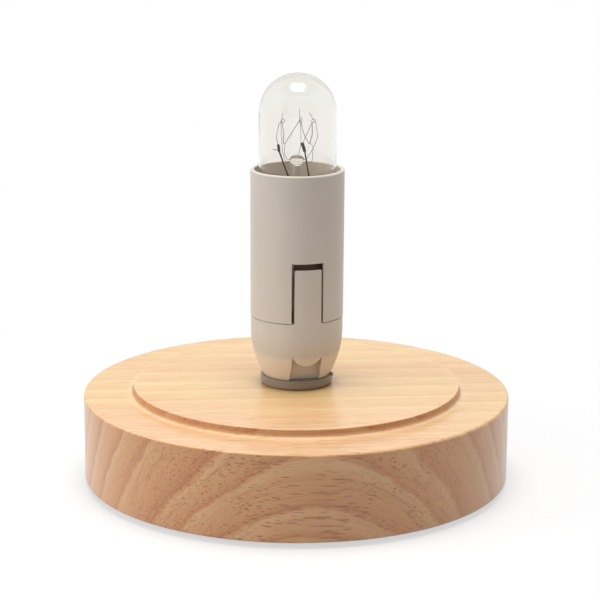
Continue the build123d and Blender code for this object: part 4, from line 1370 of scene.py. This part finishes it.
def add_floor(studio):
    """Plain pale floor that looks white where no shadow lies, and is clear from below."""
    mesh = bpy.data.meshes.new("floor")
    signs = ((-1, -1), (1, -1), (1, 1), (-1, 1))
    corners = [(x * FLOOR_HALF, y * FLOOR_HALF, 0.0) for x, y in signs]
    mesh.from_pydata(corners, [], [(0, 1, 2, 3)])
    floor = placed("floor", mesh)
    shader = Shader("floor_white")
    seen = seen_directly(shader)
    place = shader.place()
    spot = shader.parts(place)
    pale = shader.blend(shader.noise(place, 0.02), tint(240, 240, 240), tint(246, 246, 246))
    dim = (studio.bounce,) * 3
    shader.finish(Base_Color=shader.blend(seen, dim, pale), Roughness=0.9)
    path = shader.add("LightPath")
    gloss = path["Is Glossy Ray"]
    beside = shader.span(shader.math("ABSOLUTE", spot["X"]), *BESIDE_SPAN)
    beside = shader.times(beside, shader.span(spot["Y"], *NOT_BEHIND_SPAN))
    beside = shader.times(beside, shader.slide(path["Is Transmission Ray"], 1.0, THROUGH_GLASS))
    tone = shader.layered(
        (1.0, 1.0, 1.0),
        (shader.times(gloss, shader.span(spot["Y"], *AHEAD_SPAN)), studio.glare),
        (shader.times(gloss, beside), studio.table),
    )
    white = shader.add("Emission", tone, 1.0)[0]
    part = shader.span(shader.reach(place), *SHADOW_SPAN, 1.0 - studio.shadow, 1.0)
    above = shader.mixed(shader.times(seen, part), shader.surface.outputs[0], white)
    from_below = shader.add("NewGeometry")["Backfacing"]
    clear = shader.add("BsdfTransparent")[0]
    shader.feed(shader.output, "Surface", shader.mixed(from_below, above, clear))
    mesh.materials.append(shader.material)


def add_world(context, studio):
    """White to the camera, toned in gloss, and soft light from all round."""
    world = bpy.data.worlds.new("studio")
    world.use_nodes = True
    context.scene.world = world
    graph = Graph(world.node_tree)
    background = graph.tree.nodes["Background"]
    ahead = graph.span(graph.parts(graph.add("TexCoord")["Generated"])["Y"], -0.2, -0.8)
    mirrored = graph.blend(ahead, studio.glare, studio.room)
    gloss = graph.add("LightPath")["Is Glossy Ray"]
    graph.feed(background, "Color", graph.blend(gloss, (1.0, 1.0, 1.0), mirrored))
    strength = graph.span(seen_directly(graph), 0.0, 1.0, studio.ambient, 1.0)
    graph.feed(background, "Strength", strength)


def add_softbox(name, spot, aim, power, fading=0.3):
    """Square light that fades over a part of its size at each edge."""
    light = bpy.data.lights.new(name, "AREA")
    light.shape = "RECTANGLE"
    light.size = light.size_y = SOFTBOX_SIZE
    light.energy = power
    lamp = placed(name, light)
    lamp.location = spot
    away = Vector(spot) - Vector(aim)
    lamp.rotation_euler = away.to_track_quat("Z", "Y").to_euler()
    light.use_nodes = True
    graph = Graph(light.node_tree)
    parts = graph.parts(graph.add("NewGeometry")["Parametric"])
    fades = []
    for part in (parts["X"], parts["Y"]):
        aside = graph.math("ABSOLUTE", graph.math("SUBTRACT", part, 0.5))
        fades.append(graph.span(aside, 0.5, 0.5 - fading))
    graph.feed(graph.tree.nodes["Emission"], "Strength", graph.times(*fades))
    return lamp


class LAMP_PT_panel(bpy.types.Panel):
    """Table lamp"""

    bl_idname = "LAMP_PT_panel"
    bl_label = "Table Lamp"
    bl_space_type = "VIEW_3D"
    bl_region_type = "UI"
    bl_category = "Table Lamp"

    def draw(self, context):
        layout = self.layout
        for operator in OPERATORS:
            layout.operator(operator.bl_idname)
        for name in GROUPS:
            group = getattr(context.scene, name)
            box = layout.box()
            for key in group.bl_rna.properties.keys():
                if key not in ("rna_type", "name"):
                    box.prop(group, key)


GROUPS = {
    "lamp_wood": WoodProperties,
    "lamp_holder": HolderProperties,
    "lamp_bulb": BulbProperties,
    "lamp_studio": StudioProperties,
}
OPERATORS = [LAMP_OT_wood_base, LAMP_OT_holder, LAMP_OT_bulb, LAMP_OT_fittings, LAMP_OT_studio]


def register():
    for name, group in GROUPS.items():
        bpy.utils.register_class(group)
        setattr(bpy.types.Scene, name, PointerProperty(type=group))
    for operator in OPERATORS:
        bpy.utils.register_class(operator)
    bpy.utils.register_class(LAMP_PT_panel)


def unregister():
    bpy.utils.unregister_class(LAMP_PT_panel)
    for operator in reversed(OPERATORS):
        bpy.utils.unregister_class(operator)
    for name, group in GROUPS.items():
        delattr(bpy.types.Scene, name)
        bpy.utils.unregister_class(group)


def main():
    register()
    bpy.ops.lamp.wood_base()
    bpy.ops.lamp.holder()
    bpy.ops.lamp.bulb()
    bpy.ops.lamp.fittings()
    bpy.ops.lamp.studio()


if __name__ == "__main__":
    main()
